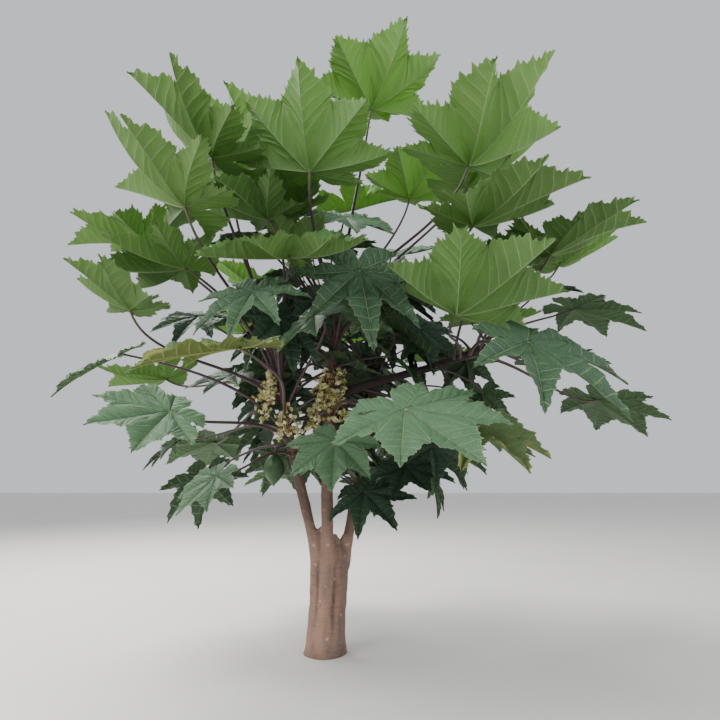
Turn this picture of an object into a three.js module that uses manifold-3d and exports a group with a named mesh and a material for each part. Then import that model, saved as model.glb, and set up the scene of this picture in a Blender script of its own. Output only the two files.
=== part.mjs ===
// Papaya tree: a short fluted trunk forks into three stems. One side bough, and a crown of single leaves.
// Millimetres and degrees, +Z up, the origin in the middle of the flat cut under the trunk.
// The side that is seen first looks towards -Y, and +X is on its right.
// Every limb is a lathe bent along a Bezier curve, every blade a lathe disc drawn in to the leaf's lobes.
import * as THREE from 'three';
import { mergeVertices } from 'three/addons/utils/BufferGeometryUtils.js';
import Module from 'manifold-3d';

const wasm = await Module();
wasm.setup();

const GAP = 0.3; // left between neighbouring pieces
const DEG = Math.PI / 180;

// The trunk leans a little to +X. Its rings: share of the height, radius, and how far the flutes stand out.
// Root flare, waist, and the lobed crotch at the fork.
const TRUNK_PATH = [[0, 0, 0], [6, 0, 200], [22, 0, 440], [28, 0, 668]];
const TRUNK_RINGS = [
  [0, 136, 0.16], [0.05, 124, 0.13], [0.12, 116, 0.11], [0.25, 112, 0.1], [0.45, 108, 0.12],
  [0.65, 104, 0.2], [0.82, 101, 0.34], [0.93, 102, 0.5], [0.98, 96, 0.52], [1, 80, 0.5],
];
const TRUNK_SIDES = 24;
const FLUTES = [[186, 1.12], [-102, 0.62], [27, 1.2]]; // direction and weight, one below every stem
const FLUTE_WIDTH = 34;

// Stems and the side bough: control points of the curve, radius at the foot and at the tip.
const STEMS = {
  centre: { path: [[15, -60, 590], [-10, -40, 1100], [0, -50, 1700], [60, -50, 2300]], foot: 54, tip: 38 },
  left: {
    path: [[-68, -8, 590], [-130, -30, 950], [-220, -100, 1200], [-370, -180, 1950]],
    foot: 50,
    tip: 33,
  },
  rear: { path: [[122, 48, 590], [190, 170, 1000], [300, 450, 1500], [360, 550, 2050]], foot: 52, tip: 34 },
  right: {
    path: [[24, -52, 1706], [300, -100, 1850], [700, -200, 1850], [1120, -300, 2050]],
    foot: 42,
    tip: 30,
  },
};
const STEM_SIDES = 10;
const STEM_STEPS = 8;

// A blade in shares of its size. Each lobe: direction and reach, from the middle lobe to the basal one.
const LOBES = [[0, 1], [41, 0.93], [83, 0.8], [126, 0.58]];
const NOTCH_REACH = 0.14; // behind the hub
const SHOULDER = { at: 0.27, drop: 0.62, pleat: 0.5 }; // shares of the way and of the bay's depth
const LAST_SHOULDER = { turn: 24, reach: 0.78, pleat: 0.7 };
const BLADE_THICKNESS = 0.016;
const INNER_RING = 0.5;

// Habits: cup lifts the rim, pleat lifts the tissue between the veins, droop bends the tips down, fold turns up
// what lies behind the hub, and bay is the reach of a bay between two lobes as a share of the shorter lobe.
const HABITS = {
  young: { cup: 0.18, pleat: 0.22, droop: 0, fold: 0.6, bay: 0.68, colour: 0x7fae52 },
  grown: { cup: 0.12, pleat: 0.2, droop: 0, fold: 0.4, bay: 0.66, colour: 0x6f9c4c },
  old: { cup: -0.03, pleat: 0.1, droop: 0.03, fold: 0, bay: 0.7, colour: 0x4d7d58 },
  deep: { cup: -0.04, pleat: 0.1, droop: 0.07, fold: 0, bay: 0.5, colour: 0x467a5c },
  fading: { cup: -0.06, pleat: 0.22, droop: 0.06, fold: 0, bay: 0.66, colour: 0x8d9a50 },
};

// A petiole leaves its stem more steeply than the straight line to the hub, and meets the blade from below.
const PETIOLE = { foot: 13, tip: 7, sides: 5, steps: 5, leave: 30, steepest: 76, meet: 40, sink: 0.45 };
const PETIOLE_PULL = { foot: 0.35, hub: 0.3 }; // share of its length from an end to the curve's inner point

// Leaves on the seen side. Petiole: share of the stem where it leaves, direction, rise, length.
// Blade: direction of its middle vein, pitch, roll, size from hub to tip, habit.
const LEAVES = {
  centre: [
    [0.995, -71, 59, 1440, -68, 35, 0, 590, 'young'],
    [0.983, -52, 27.5, 1470, -42, 28, 0, 715, 'young'],
    [0.955, -12, 60, 1110, -55, 30, 0, 510, 'young'],
    [0.93, -95.5, 33, 1295, -98, 40, -8, 595, 'young'],
    [0.903, -26, 44, 1405, -12, 22, -8, 610, 'young'],
    [0.895, -128, 59, 1240, -125, 36, 0, 640, 'young'],
    [0.875, -52, 20, 1430, -24, 13, 8, 680, 'grown'],
    [0.838, -100.5, 18.5, 1150, -103, -15, -4, 600, 'grown'],
    [0.818, -78.5, 20, 1045, -77, -64, 6, 550, 'deep'],
    [0.6, -70.5, -3.5, 1330, -46, -19, 24, 600, 'old'],
    [0.54, -84, -8, 760, -100, -50, 0, 370, 'old'],
    [0.38, -88, 14, 570, -140, -45, 0, 260, 'old'],
  ],
  left: [
    [0.99, -106, 48, 1430, -152, 38, -8, 640, 'grown'],
    [0.93, -110, 36, 1397, -158, 32.5, 2.5, 628, 'grown'],
    [0.93, -168, 46, 1340, 178, -2, 0, 560, 'grown'],
    [0.88, -124, 38, 1120, -175, -8, 8, 560, 'grown'],
    [0.847, -91.5, 24, 1213, -103.5, -46, -0.5, 413, 'deep'],
    [0.83, -137, 25, 1230, -140, 30, 0, 460, 'grown'],
    [0.8, -70, 38, 910, -135, -42, 0, 420, 'old'],
    [0.77, -95, 15, 1220, 178, -6, -12, 600, 'fading'],
    [0.74, -162, 24, 1220, -170, -30, -15, 500, 'old'],
    [0.7, -127, 8, 1000, -139, -12, -33, 480, 'old'],
    [0.642, -125.5, -11.5, 695, -145.5, -43, -10.5, 326, 'old'],
  ],
  right: [
    [0.94, -56, 38, 800, -5, 22, 0, 640, 'grown'],
    [0.99, -20, 20, 590, 0, -15, 0, 500, 'old'],
    [0.885, -79, -6.5, 865, -40, -36, 18, 680, 'deep'],
    [0.84, -101, 8, 770, -52, 20, -12, 700, 'young'],
    [0.7, -78, -34, 740, -60, -36, 0, 540, 'fading'],
  ],
  rear: [],
};

// The far side is filled by rule: leaves step round an arc by the golden ratio and sink down the stem.
const FILL = {
  centre: { count: 4, from: 30, arc: 150, top: 0.98, high: 68, low: 52, reach: 1150 },
  left: { count: 3, from: 100, arc: 55, top: 0.945, high: 30, low: -12, reach: 1050 },
  rear: { count: 8, from: 25, arc: 160, top: 0.99, high: 48, low: -14, reach: 1100 },
  right: { count: 4, from: -2, arc: 80, top: 0.97, high: 45, low: -15, reach: 950 },
};
const GOLDEN = { start: 0.3, step: 0.618 };
const FILL_LEAF = { spacing: 0.045, longer: 90, twist: 14, follow: 0.8, nod: 14, size: 580, shrink: 40 };
const AGES = { grown: 0.3, old: 0.6 }; // share of the way down at which a filled leaf changes habit

// Blossom hangs in sprays: a stalk that arches out and down, with small trumpet flowers along its end.
const BLOSSOMS = [
  { name: 'blossom_centre_front', stem: 'centre', at: 0.78, azimuth: -110, reach: 90, drop: 240 },
  { name: 'blossom_centre_side', stem: 'centre', at: 0.6, azimuth: 215, reach: 80, drop: 180 },
  { name: 'blossom_left', stem: 'left', at: 0.84, azimuth: 5, reach: 60, drop: 240 },
];
const SPRAY = { foot: 7, tip: 4, arch: 20, first: 0.55, turn: 137.5, lean: -25, leanStep: -10 };
const FLOWER_STALK = { long: 34, longer: 16 };
const FLOWER = { long: 38, wide: 19, neck: 4, foot: 3, count: 7 };

// Green fruit: its outline from the shoulder to the pointed end, in shares of the length and of the radius.
const FRUITS = [
  { name: 'fruit_large', stem: 'left', at: 0.68, azimuth: 226, reach: 148, drop: 45, wide: 69, long: 212 },
  { name: 'fruit_small', stem: 'left', at: 0.65, azimuth: -62, reach: 84, drop: 60, wide: 34, long: 98 },
];
const BELLY = [
  [0, 0.2], [0.08, 0.5], [0.25, 0.82], [0.45, 1], [0.65, 0.9], [0.84, 0.5], [0.96, 0.16], [1, 0.04],
];
const FRUIT_STALK = { foot: 11, tip: 9, arch: 20, sink: 12 };

const BARK = { colour: 0x8a7266, roughness: 0.9 };
const LEAF_ROUGHNESS = 0.7;
const FRUIT_SKIN = { colour: 0x4d7f3a, roughness: 0.45 };
const PETAL = { colour: 0xe9dfae, roughness: 0.6 };

const vec = (p) => new THREE.Vector3(...p);
const curveOf = (path) => new THREE.CubicBezierCurve3(...path.map(vec));
const crossways = (azimuth) => [-Math.sin(azimuth * DEG), Math.cos(azimuth * DEG), 0];

function heading(azimuth, rise) {
  const flat = Math.cos(rise * DEG);
  return vec([flat * Math.cos(azimuth * DEG), flat * Math.sin(azimuth * DEG), Math.sin(rise * DEG)]);
}

// A closed geometry as a solid that can be joined and cut, and such a solid as a geometry again.
function solid(geometry) {
  const bare = geometry.clone();
  bare.deleteAttribute('normal');
  bare.deleteAttribute('uv');
  const merged = mergeVertices(bare, 1e-3);
  const vertProperties = merged.attributes.position.array;
  const triVerts = new Uint32Array(merged.index.array);
  return new wasm.Manifold(new wasm.Mesh({ numProp: 3, vertProperties, triVerts }));
}

function geometryOf(body) {
  const mesh = body.getMesh();
  const geometry = new THREE.BufferGeometry();
  geometry.setAttribute('position', new THREE.BufferAttribute(new Float32Array(mesh.vertProperties), 3));
  geometry.setIndex(new THREE.BufferAttribute(new Uint32Array(mesh.triVerts), 1));
  geometry.computeVertexNormals();
  return geometry;
}

// A lathe bent along a curve. Rings are [share of the curve, radius]. The section lies across the curve, or
// level where asked, and swell(angle, ring) may flute it. grow makes it fatter and longer all round.
function limb(curve, rings, shape = {}) {
  const { side = [0, 1, 0], sides = STEM_SIDES, grow = 0, level = false, swell = null } = shape;
  const last = rings.length - 1;
  const wall = rings.map(([, radius], i) => new THREE.Vector2(radius + grow, i));
  const outline = [new THREE.Vector2(0, 0), ...wall, new THREE.Vector2(0, last)];
  const lathe = new THREE.LatheGeometry(outline, sides);
  const position = lathe.attributes.position;
  for (let i = 0; i < position.count; i++) {
    const ring = Math.round(position.getY(i));
    const share = rings[ring][0];
    const along = level ? vec([0, 0, 1]) : curve.getTangent(share);
    const across = vec(side).cross(along).normalize();
    const over = across.clone().cross(along);
    const spoke = across.multiplyScalar(position.getX(i)).addScaledVector(over, position.getZ(i));
    if (swell) spoke.multiplyScalar(swell(Math.atan2(spoke.y, spoke.x) / DEG, ring));
    const push = ring === 0 ? -grow : ring === last ? grow : 0;
    const p = curve.getPoint(share).addScaledVector(along, push).add(spoke);
    position.setXYZ(i, p.x, p.y, p.z);
  }
  return solid(lathe);
}

function evenRings(steps, foot, tip) {
  return Array.from({ length: steps + 1 }, (_, i) => [i / steps, foot + ((tip - foot) * i) / steps]);
}

function trunk(grow = 0) {
  const swell = (angle, ring) => {
    const bump = ([at, weight]) => {
      const away = ((angle - at + 900) % 360) - 180;
      return weight * Math.exp(-((away / FLUTE_WIDTH) ** 2));
    };
    return 1 + TRUNK_RINGS[ring][2] * FLUTES.reduce((sum, flute) => sum + bump(flute), 0);
  };
  return limb(curveOf(TRUNK_PATH), TRUNK_RINGS, { sides: TRUNK_SIDES, grow, level: true, swell });
}

function stem(name, grow = 0) {
  const { path, foot, tip } = STEMS[name];
  return limb(curveOf(path), evenRings(STEM_STEPS, foot, tip), { grow });
}

// Half the rim of a blade from the middle tip round to the notch, then the other half mirrored.
// Each point: direction, reach, share of the pleat's lift, and for a shoulder its inner ring's vein.
function rim(bay) {
  const half = [];
  LOBES.forEach(([turn, reach], k) => {
    const vein = [turn, reach];
    const shoulder = reach * (1 - SHOULDER.drop * (1 - bay));
    const next = LOBES[k + 1];
    if (k && next) half.push([turn - (turn - LOBES[k - 1][0]) * SHOULDER.at, shoulder, SHOULDER.pleat, vein]);
    half.push([turn, reach, 0]);
    if (next) {
      half.push([turn + (next[0] - turn) * SHOULDER.at, shoulder, SHOULDER.pleat, vein]);
      half.push([(turn + next[0]) / 2, bay * next[1], 1]);
    } else {
      half.push([turn + LAST_SHOULDER.turn, reach * LAST_SHOULDER.reach, LAST_SHOULDER.pleat, vein]);
      half.push([180, NOTCH_REACH, LAST_SHOULDER.pleat]);
    }
  });
  const mirror = ([turn, reach, pleat, vein]) => [-turn, reach, pleat, vein && [-vein[0], vein[1]]];
  return [...half, ...half.slice(1, -1).reverse().map(mirror)];
}

function blade(size, { cup, pleat, droop, fold, bay }) {
  const points = rim(bay);
  const profile = [[0, -1], [INNER_RING, -1], [1, -1], [1, 1], [INNER_RING, 1], [0, 1]];
  const disc = new THREE.LatheGeometry(profile.map(([x, y]) => new THREE.Vector2(x, y)), points.length);
  const position = disc.attributes.position;
  for (let i = 0; i < position.count; i++) {
    const [share, face] = profile[i % profile.length];
    let [turn, reach, lift, vein] = points[Math.floor(i / profile.length) % points.length];
    if (share === INNER_RING && vein) [turn, reach, lift] = [...vein, 0];
    const r = share * reach;
    const [x, y] = [r * Math.cos(turn * DEG), r * Math.sin(turn * DEG)];
    const bend = cup * r * r - droop * r * r * r + fold * Math.max(0, -x);
    position.setXYZ(i, size * x, size * y, size * (pleat * r * lift + bend + (face * BLADE_THICKNESS) / 2));
  }
  return disc;
}

// One leaf: its blade on its petiole, clear of the stem that it grows from.
function leaf(stemName, [share, azimuth, rise, length, turn, pitch, roll, size, habit]) {
  const root = curveOf(STEMS[stemName].path).getPoint(share);
  const hub = root.clone().addScaledVector(heading(azimuth, rise), length);
  const midrib = heading(turn, pitch);
  const upright = heading(turn, pitch + 90);
  const leftward = upright.clone().cross(midrib);
  const [level, tilted] = [Math.cos(roll * DEG), Math.sin(roll * DEG)];
  const left = leftward.clone().multiplyScalar(level).addScaledVector(upright, tilted);
  const up = upright.clone().multiplyScalar(level).addScaledVector(leftward, -tilted);
  const frame = new THREE.Matrix4().makeBasis(midrib, left, up).setPosition(hub);

  // The petiole stops inside the lower half of the blade, so it doesn't come through.
  const seat = hub.clone().addScaledVector(up, -size * BLADE_THICKNESS * PETIOLE.sink);
  const arrive = midrib.clone().multiplyScalar(Math.cos(PETIOLE.meet * DEG));
  arrive.addScaledVector(up, Math.sin(PETIOLE.meet * DEG));
  const base = root.clone().addScaledVector(heading(azimuth, 0), STEMS[stemName].tip / 2);
  const leave = heading(azimuth, Math.min(rise + PETIOLE.leave, PETIOLE.steepest));
  const path = new THREE.CubicBezierCurve3(
    base,
    base.clone().addScaledVector(leave, length * PETIOLE_PULL.foot),
    seat.clone().addScaledVector(arrive, -length * PETIOLE_PULL.hub),
    seat,
  );
  const rings = evenRings(PETIOLE.steps, PETIOLE.foot, PETIOLE.tip);
  const stalk = limb(path, rings, { side: crossways(azimuth), sides: PETIOLE.sides });
  return solid(blade(size, HABITS[habit]).applyMatrix4(frame)).add(stalk).subtract(stem(stemName, GAP));
}

// Rows for the far side of one stem, in the form of the rows above.
function fillRows({ count, from, arc, top, high, low, reach }) {
  return Array.from({ length: count }, (_, k) => {
    const age = k / (count - 1);
    const azimuth = from + arc * ((GOLDEN.start + k * GOLDEN.step) % 1);
    const rise = high + (low - high) * age;
    const habit = age < AGES.grown ? 'young' : age < AGES.old ? 'grown' : 'old';
    const odd = k % 2;
    const turn = azimuth + (odd ? FILL_LEAF.twist : -FILL_LEAF.twist);
    const pitch = rise * FILL_LEAF.follow - FILL_LEAF.nod;
    const size = FILL_LEAF.size - FILL_LEAF.shrink * age;
    const share = top - FILL_LEAF.spacing * k;
    return [share, azimuth, rise, reach + FILL_LEAF.longer * odd, turn, pitch, 0, size, habit];
  });
}

function blossom({ stem: stemName, at, azimuth, reach, drop }) {
  const { path, foot } = STEMS[stemName];
  const root = curveOf(path).getPoint(at);
  const out = heading(azimuth, 0);
  const shoulder = root.clone().addScaledVector(out, foot + reach).add(vec([0, 0, SPRAY.arch]));
  const end = shoulder.clone().add(vec([0, 0, -drop - SPRAY.arch]));
  const main = new THREE.QuadraticBezierCurve3(root, shoulder, end);
  let body = limb(main, evenRings(4, SPRAY.foot, SPRAY.tip), { side: crossways(azimuth), sides: 4 });
  for (let k = 0; k < FLOWER.count; k++) {
    const from = main.getPoint(SPRAY.first + ((1 - SPRAY.first) * k) / (FLOWER.count - 1));
    const turn = azimuth + SPRAY.turn * k;
    const stalk = FLOWER_STALK.long + FLOWER_STALK.longer * (k % 2);
    const length = stalk + FLOWER.long;
    const tip = from.clone().addScaledVector(heading(turn, SPRAY.lean + SPRAY.leanStep * (k % 3)), length);
    const trumpet = [[0, FLOWER.foot], [stalk / length, FLOWER.neck], [1, FLOWER.wide]];
    body = body.add(limb(new THREE.LineCurve3(from, tip), trumpet, { side: crossways(turn), sides: 4 }));
  }
  return body.subtract(stem(stemName, GAP));
}

function fruit({ stem: stemName, at, azimuth, reach, drop, wide, long }) {
  const root = curveOf(STEMS[stemName].path).getPoint(at);
  const top = root.clone().addScaledVector(heading(azimuth, 0), reach).add(vec([0, 0, -drop]));
  const bottom = top.clone().add(vec([0, 0, -long]));
  const body = limb(new THREE.LineCurve3(top, bottom), BELLY.map(([t, r]) => [t, r * wide]), { sides: 12 });
  const above = top.clone().add(vec([0, 0, drop + FRUIT_STALK.arch]));
  const inside = top.clone().add(vec([0, 0, -FRUIT_STALK.sink]));
  const stalk = new THREE.QuadraticBezierCurve3(root, above, inside);
  const rings = evenRings(3, FRUIT_STALK.foot, FRUIT_STALK.tip);
  return body.add(limb(stalk, rings, { side: crossways(azimuth), sides: 6 })).subtract(stem(stemName, GAP));
}

const tree = new THREE.Group();
tree.name = 'papaya_tree';

function addPiece(name, body, { colour, roughness }) {
  const material = new THREE.MeshStandardMaterial({ color: colour, roughness, metalness: 0 });
  const mesh = new THREE.Mesh(geometryOf(body), material);
  mesh.name = name;
  tree.add(mesh);
}

addPiece('trunk', trunk(), BARK);
for (const name of ['centre', 'left', 'rear']) {
  addPiece(`stem_${name}`, stem(name).subtract(trunk(GAP)), BARK);
}
addPiece('bough_right', stem('right').subtract(stem('centre', GAP)), BARK);

for (const name of Object.keys(STEMS)) {
  [...LEAVES[name], ...fillRows(FILL[name])].forEach((row, k) => {
    const look = { colour: HABITS[row.at(-1)].colour, roughness: LEAF_ROUGHNESS };
    addPiece(`leaf_${name}_${String(k + 1).padStart(2, '0')}`, leaf(name, row), look);
  });
}
for (const spec of BLOSSOMS) addPiece(spec.name, blossom(spec), PETAL);
for (const spec of FRUITS) addPiece(spec.name, fruit(spec), FRUIT_SKIN);

export default tree;
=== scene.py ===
"""Looks of the papaya tree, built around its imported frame.

Lengths are metres and angles are degrees. Z is up, the origin is in the middle of the cut under the
trunk, and the side that is seen first looks towards -Y. Every large leaf is one piece that stands for
the leaf of the same stem and number in the frame, and one bark mesh stands for the trunk, the stems and
the bough. The shoots, and the leaves that fill the crown between and behind the large ones, stand for
no node.
"""

from __future__ import annotations

import logging
import math
from collections.abc import Callable, Iterator, Sequence
from dataclasses import dataclass, field, replace
from enum import Enum

import bpy
import numpy as np
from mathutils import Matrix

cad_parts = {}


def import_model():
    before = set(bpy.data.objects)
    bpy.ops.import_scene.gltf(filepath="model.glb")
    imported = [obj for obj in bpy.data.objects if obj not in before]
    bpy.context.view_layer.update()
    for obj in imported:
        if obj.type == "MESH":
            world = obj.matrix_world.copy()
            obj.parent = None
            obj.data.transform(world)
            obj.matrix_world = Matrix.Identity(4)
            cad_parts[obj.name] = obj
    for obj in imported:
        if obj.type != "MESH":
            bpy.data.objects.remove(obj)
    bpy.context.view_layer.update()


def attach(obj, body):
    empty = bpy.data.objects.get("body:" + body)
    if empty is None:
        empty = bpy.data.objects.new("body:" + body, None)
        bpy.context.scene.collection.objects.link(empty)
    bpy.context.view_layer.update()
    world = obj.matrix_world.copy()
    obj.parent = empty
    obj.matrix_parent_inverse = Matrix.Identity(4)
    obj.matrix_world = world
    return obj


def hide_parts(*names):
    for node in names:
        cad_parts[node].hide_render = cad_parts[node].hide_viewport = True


log = logging.getLogger("papaya")

BODY = "root"
SEED = 41
GOLDEN_ANGLE = 137.5
GOLDEN_SHARE = 0.618
BACKWARD = np.array([0.0, 1.0, 0.0])

Array = np.ndarray
Random = np.random.Generator
Triple = tuple[float, float, float]


def paint(code: int) -> tuple[float, ...]:
    """Turns a display colour 0xRRGGBB into the linear one, with full cover, that shaders take."""
    shares = [((code >> shift) & 255) / 255 for shift in (16, 8, 0)]
    return (*(((s + 0.055) / 1.055) ** 2.4 if s > 0.04045 else s / 12.92 for s in shares), 1.0)


def heading(azimuth: float, rise: float) -> Array:
    """Gives the unit vector at an azimuth, from +X towards +Y, and a rise above level."""
    turn, lift = math.radians(azimuth), math.radians(rise)
    return np.array([math.cos(lift) * math.cos(turn), math.cos(lift) * math.sin(turn), math.sin(lift)])


def crossways(azimuth: float) -> Array:
    """Gives the level unit vector a quarter turn on from an azimuth."""
    return heading(azimuth + 90, 0)


def unit(vectors: Array) -> Array:
    """Scales one vector, or one in each row, to length one."""
    return vectors / np.linalg.norm(vectors, axis=-1, keepdims=True)


def square_to(way: Array) -> Array:
    """Gives a unit vector square to a direction."""
    return unit(np.cross(way, [0.31, 0.17, 0.93]))


def polar(turn: float, reach: float) -> Array:
    """Gives the point of a blade's plane at a turn from the middle vein and a reach from the hub."""
    return reach * np.array([math.cos(math.radians(turn)), math.sin(math.radians(turn))])


def apart(turns: Array, direction: float) -> Array:
    """Tells how far directions lie from one direction, from -180 to 180 degrees."""
    return (turns - direction + 180) % 360 - 180


def triangles(a: Array, b: Array, c: Array, d: Array) -> Array:
    """Cuts faces, given by the vertices at their four corners, into triangles."""
    return np.concatenate([np.stack(face, -1).reshape(-1, 3) for face in ((a, b, c), (a, c, d))])


def linked(name: str, data: bpy.types.ID) -> bpy.types.Object:
    """Puts an object into the scene.

    Args:
        name: The object's name.
        data: The mesh, light or camera that it holds.

    Returns:
        The object.
    """
    thing = bpy.data.objects.new(name, data)
    bpy.context.scene.collection.objects.link(thing)
    return thing


@dataclass(frozen=True)
class Bezier:
    """A Bezier curve through space or in a plane.

    Attributes:
        points: Control points, one in each row.
    """

    points: Array

    def at(self, shares: Array) -> Array:
        """Gives points of the curve.

        Args:
            shares: Shares of the curve from 0 to 1.

        Returns:
            One point for each share.
        """
        wide = self.points.shape[1]
        rungs = [np.broadcast_to(point, (len(shares), wide)) for point in self.points]
        while len(rungs) > 1:
            rungs = [a + (b - a) * shares[:, None] for a, b in zip(rungs, rungs[1:])]
        return rungs[0]

    def point(self, share: float) -> Array:
        """Gives the point at one share of the curve."""
        return self.at(np.array([share]))[0]

    def tangent(self, shares: Array) -> Array:
        """Gives the unit vector along the curve at each share."""
        return unit(Bezier(np.diff(self.points, axis=0)).at(shares))


@dataclass
class Surface:
    """Triangles with a material slot each, and named numbers at their vertices.

    Attributes:
        places: Vertex positions, one in each row.
        corners: Vertex numbers of each triangle.
        slots: Material slot of each triangle.
        marks: Numbers at the vertices, by name.
    """

    places: Array
    corners: Array
    slots: Array
    marks: dict[str, Array] = field(default_factory=dict)

    @staticmethod
    def joined(parts: Sequence[Surface]) -> Surface:
        """Puts surfaces together as one.

        Args:
            parts: Surfaces that carry the same marks.

        Returns:
            One surface with all of them.
        """
        starts = np.cumsum([0] + [len(part.places) for part in parts[:-1]])
        return Surface(
            np.concatenate([part.places for part in parts]),
            np.concatenate([part.corners + start for part, start in zip(parts, starts)]),
            np.concatenate([part.slots for part in parts]),
            {name: np.concatenate([part.marks[name] for part in parts]) for name in parts[0].marks},
        )

    def mesh(self, name: str, crease: float) -> bpy.types.Mesh:
        """Makes a mesh.

        Args:
            name: The mesh's name.
            crease: Edges that turn by more than this many degrees stay sharp.

        Returns:
            The mesh.
        """
        mesh = bpy.data.meshes.new(name)
        mesh.vertices.add(len(self.places))
        mesh.vertices.foreach_set("co", self.places.astype(np.float32).ravel())
        mesh.loops.add(self.corners.size)
        mesh.loops.foreach_set("vertex_index", self.corners.astype(np.int32).ravel())
        mesh.polygons.add(len(self.corners))
        mesh.polygons.foreach_set("loop_start", np.arange(0, self.corners.size, 3, dtype=np.int32))
        mesh.polygons.foreach_set("material_index", self.slots.astype(np.int32))
        for mark, values in self.marks.items():
            layer = mesh.attributes.new(mark, "FLOAT", "POINT")
            layer.data.foreach_set("value", values.astype(np.float32))
        mesh.update(calc_edges=True)
        mesh.validate()
        mesh.shade_smooth()
        mesh.set_sharp_from_angle(angle=math.radians(crease))
        return mesh

    def piece(
        self, name: str, materials: Sequence[bpy.types.Material], slot: str, crease: float = 50
    ) -> bpy.types.Object:
        """Makes an object that rides on the tree's body.

        Args:
            name: The object's name.
            materials: Its materials, in the order of the slots.
            slot: Name of a material slot; it is not used.
            crease: Edges that turn by more than this many degrees stay sharp.

        Returns:
            The object.
        """
        mesh = self.mesh(name, crease)
        for material in materials:
            mesh.materials.append(material)
        piece = linked(name, mesh)
        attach(piece, BODY)
        log.info("%s: %d triangles", name, len(self.corners))
        return piece


def tube(
    curve: Bezier,
    shares: Array,
    radii: Array,
    sides: int,
    side: Array,
    slot: int = 0,
    level: bool = False,
    swell: Callable[[Array, Array], Array] | None = None,
) -> Surface:
    """Bends a closed tube along a curve.

    Args:
        curve: The tube's centreline.
        shares: Share of the curve at each ring.
        radii: Radius at each ring.
        sides: Number of sides.
        side: A vector square to the curve's first stretch.
        slot: Material slot of every triangle.
        level: Whether the rings lie level.
        swell: Gives a factor for each ring and side, from directions in degrees and the shares.

    Returns:
        The tube, whose mark "run" is the share of the curve.
    """
    along = np.tile([0.0, 0.0, 1.0], (len(shares), 1)) if level else curve.tangent(shares)
    across = unit(np.cross(side, along))
    over = np.cross(along, across)
    angles = np.linspace(0, 2 * math.pi, sides, endpoint=False)
    spokes = (
        np.cos(angles)[None, :, None] * across[:, None] + np.sin(angles)[None, :, None] * over[:, None]
    ) * radii[:, None, None]
    if swell:
        turns = np.degrees(np.arctan2(spokes[..., 1], spokes[..., 0]))
        spokes = spokes * swell(turns, shares)[..., None]
    centres = curve.at(shares)
    rings = len(shares)
    places = np.concatenate([(centres[:, None] + spokes).reshape(-1, 3), centres[[0, -1]]])
    ring, at = np.meshgrid(np.arange(rings - 1), np.arange(sides), indexing="ij")
    a = ring * sides + at
    b = ring * sides + (at + 1) % sides
    wall = triangles(a, b, b + sides, a + sides)
    around = np.arange(sides)
    following = (around + 1) % sides
    foot = np.stack([np.full(sides, rings * sides), following, around], -1)
    top = (rings - 1) * sides
    head = np.stack([np.full(sides, rings * sides + 1), top + around, top + following], -1)
    corners = np.concatenate([wall, foot, head])
    run = np.concatenate([np.repeat(shares, sides), shares[[0, -1]]])
    return Surface(places, corners, np.full(len(corners), slot), {"run": run})


class Wire:
    """A shader value that takes part in arithmetic."""

    def __init__(self, sheet: NodeSheet, socket: bpy.types.NodeSocket) -> None:
        """Wraps an output socket of a sheet's node tree."""
        self.sheet = sheet
        self.socket = socket

    def maths(self, operation: str, *others: Wire | float, clamp: bool = False) -> Wire:
        """Puts the value and others through a Math node, whose result can be kept from 0 to 1."""
        inputs = dict(enumerate([self, *others]))
        return self.sheet.add("ShaderNodeMath", inputs, operation=operation, use_clamp=clamp)

    def __add__(self, other: Wire | float) -> Wire:
        """Adds."""
        return self.maths("ADD", other)

    def __radd__(self, other: float) -> Wire:
        """Adds to a number."""
        return self.maths("ADD", other)

    def __sub__(self, other: Wire | float) -> Wire:
        """Subtracts."""
        return self.maths("SUBTRACT", other)

    def __rsub__(self, other: float) -> Wire:
        """Subtracts from a number."""
        return (self * -1).maths("ADD", other)

    def __mul__(self, other: Wire | float) -> Wire:
        """Multiplies."""
        return self.maths("MULTIPLY", other)

    def __rmul__(self, other: float) -> Wire:
        """Multiplies a number."""
        return self.maths("MULTIPLY", other)

    def __pow__(self, power: float) -> Wire:
        """Raises to a power."""
        return self.maths("POWER", power)

    def larger(self, other: Wire | float) -> Wire:
        """Takes the larger of two values."""
        return self.maths("MAXIMUM", other)

    def clamped(self) -> Wire:
        """Keeps the value from 0 to 1."""
        return self.maths("ADD", 0.0, clamp=True)

    def step(self, low: float, high: float) -> Wire:
        """Rises smoothly from 0 at the low value to 1 at the high one."""
        inputs = {"Value": self, "From Min": low, "From Max": high}
        return self.sheet.add("ShaderNodeMapRange", inputs, interpolation_type="SMOOTHSTEP")


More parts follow.
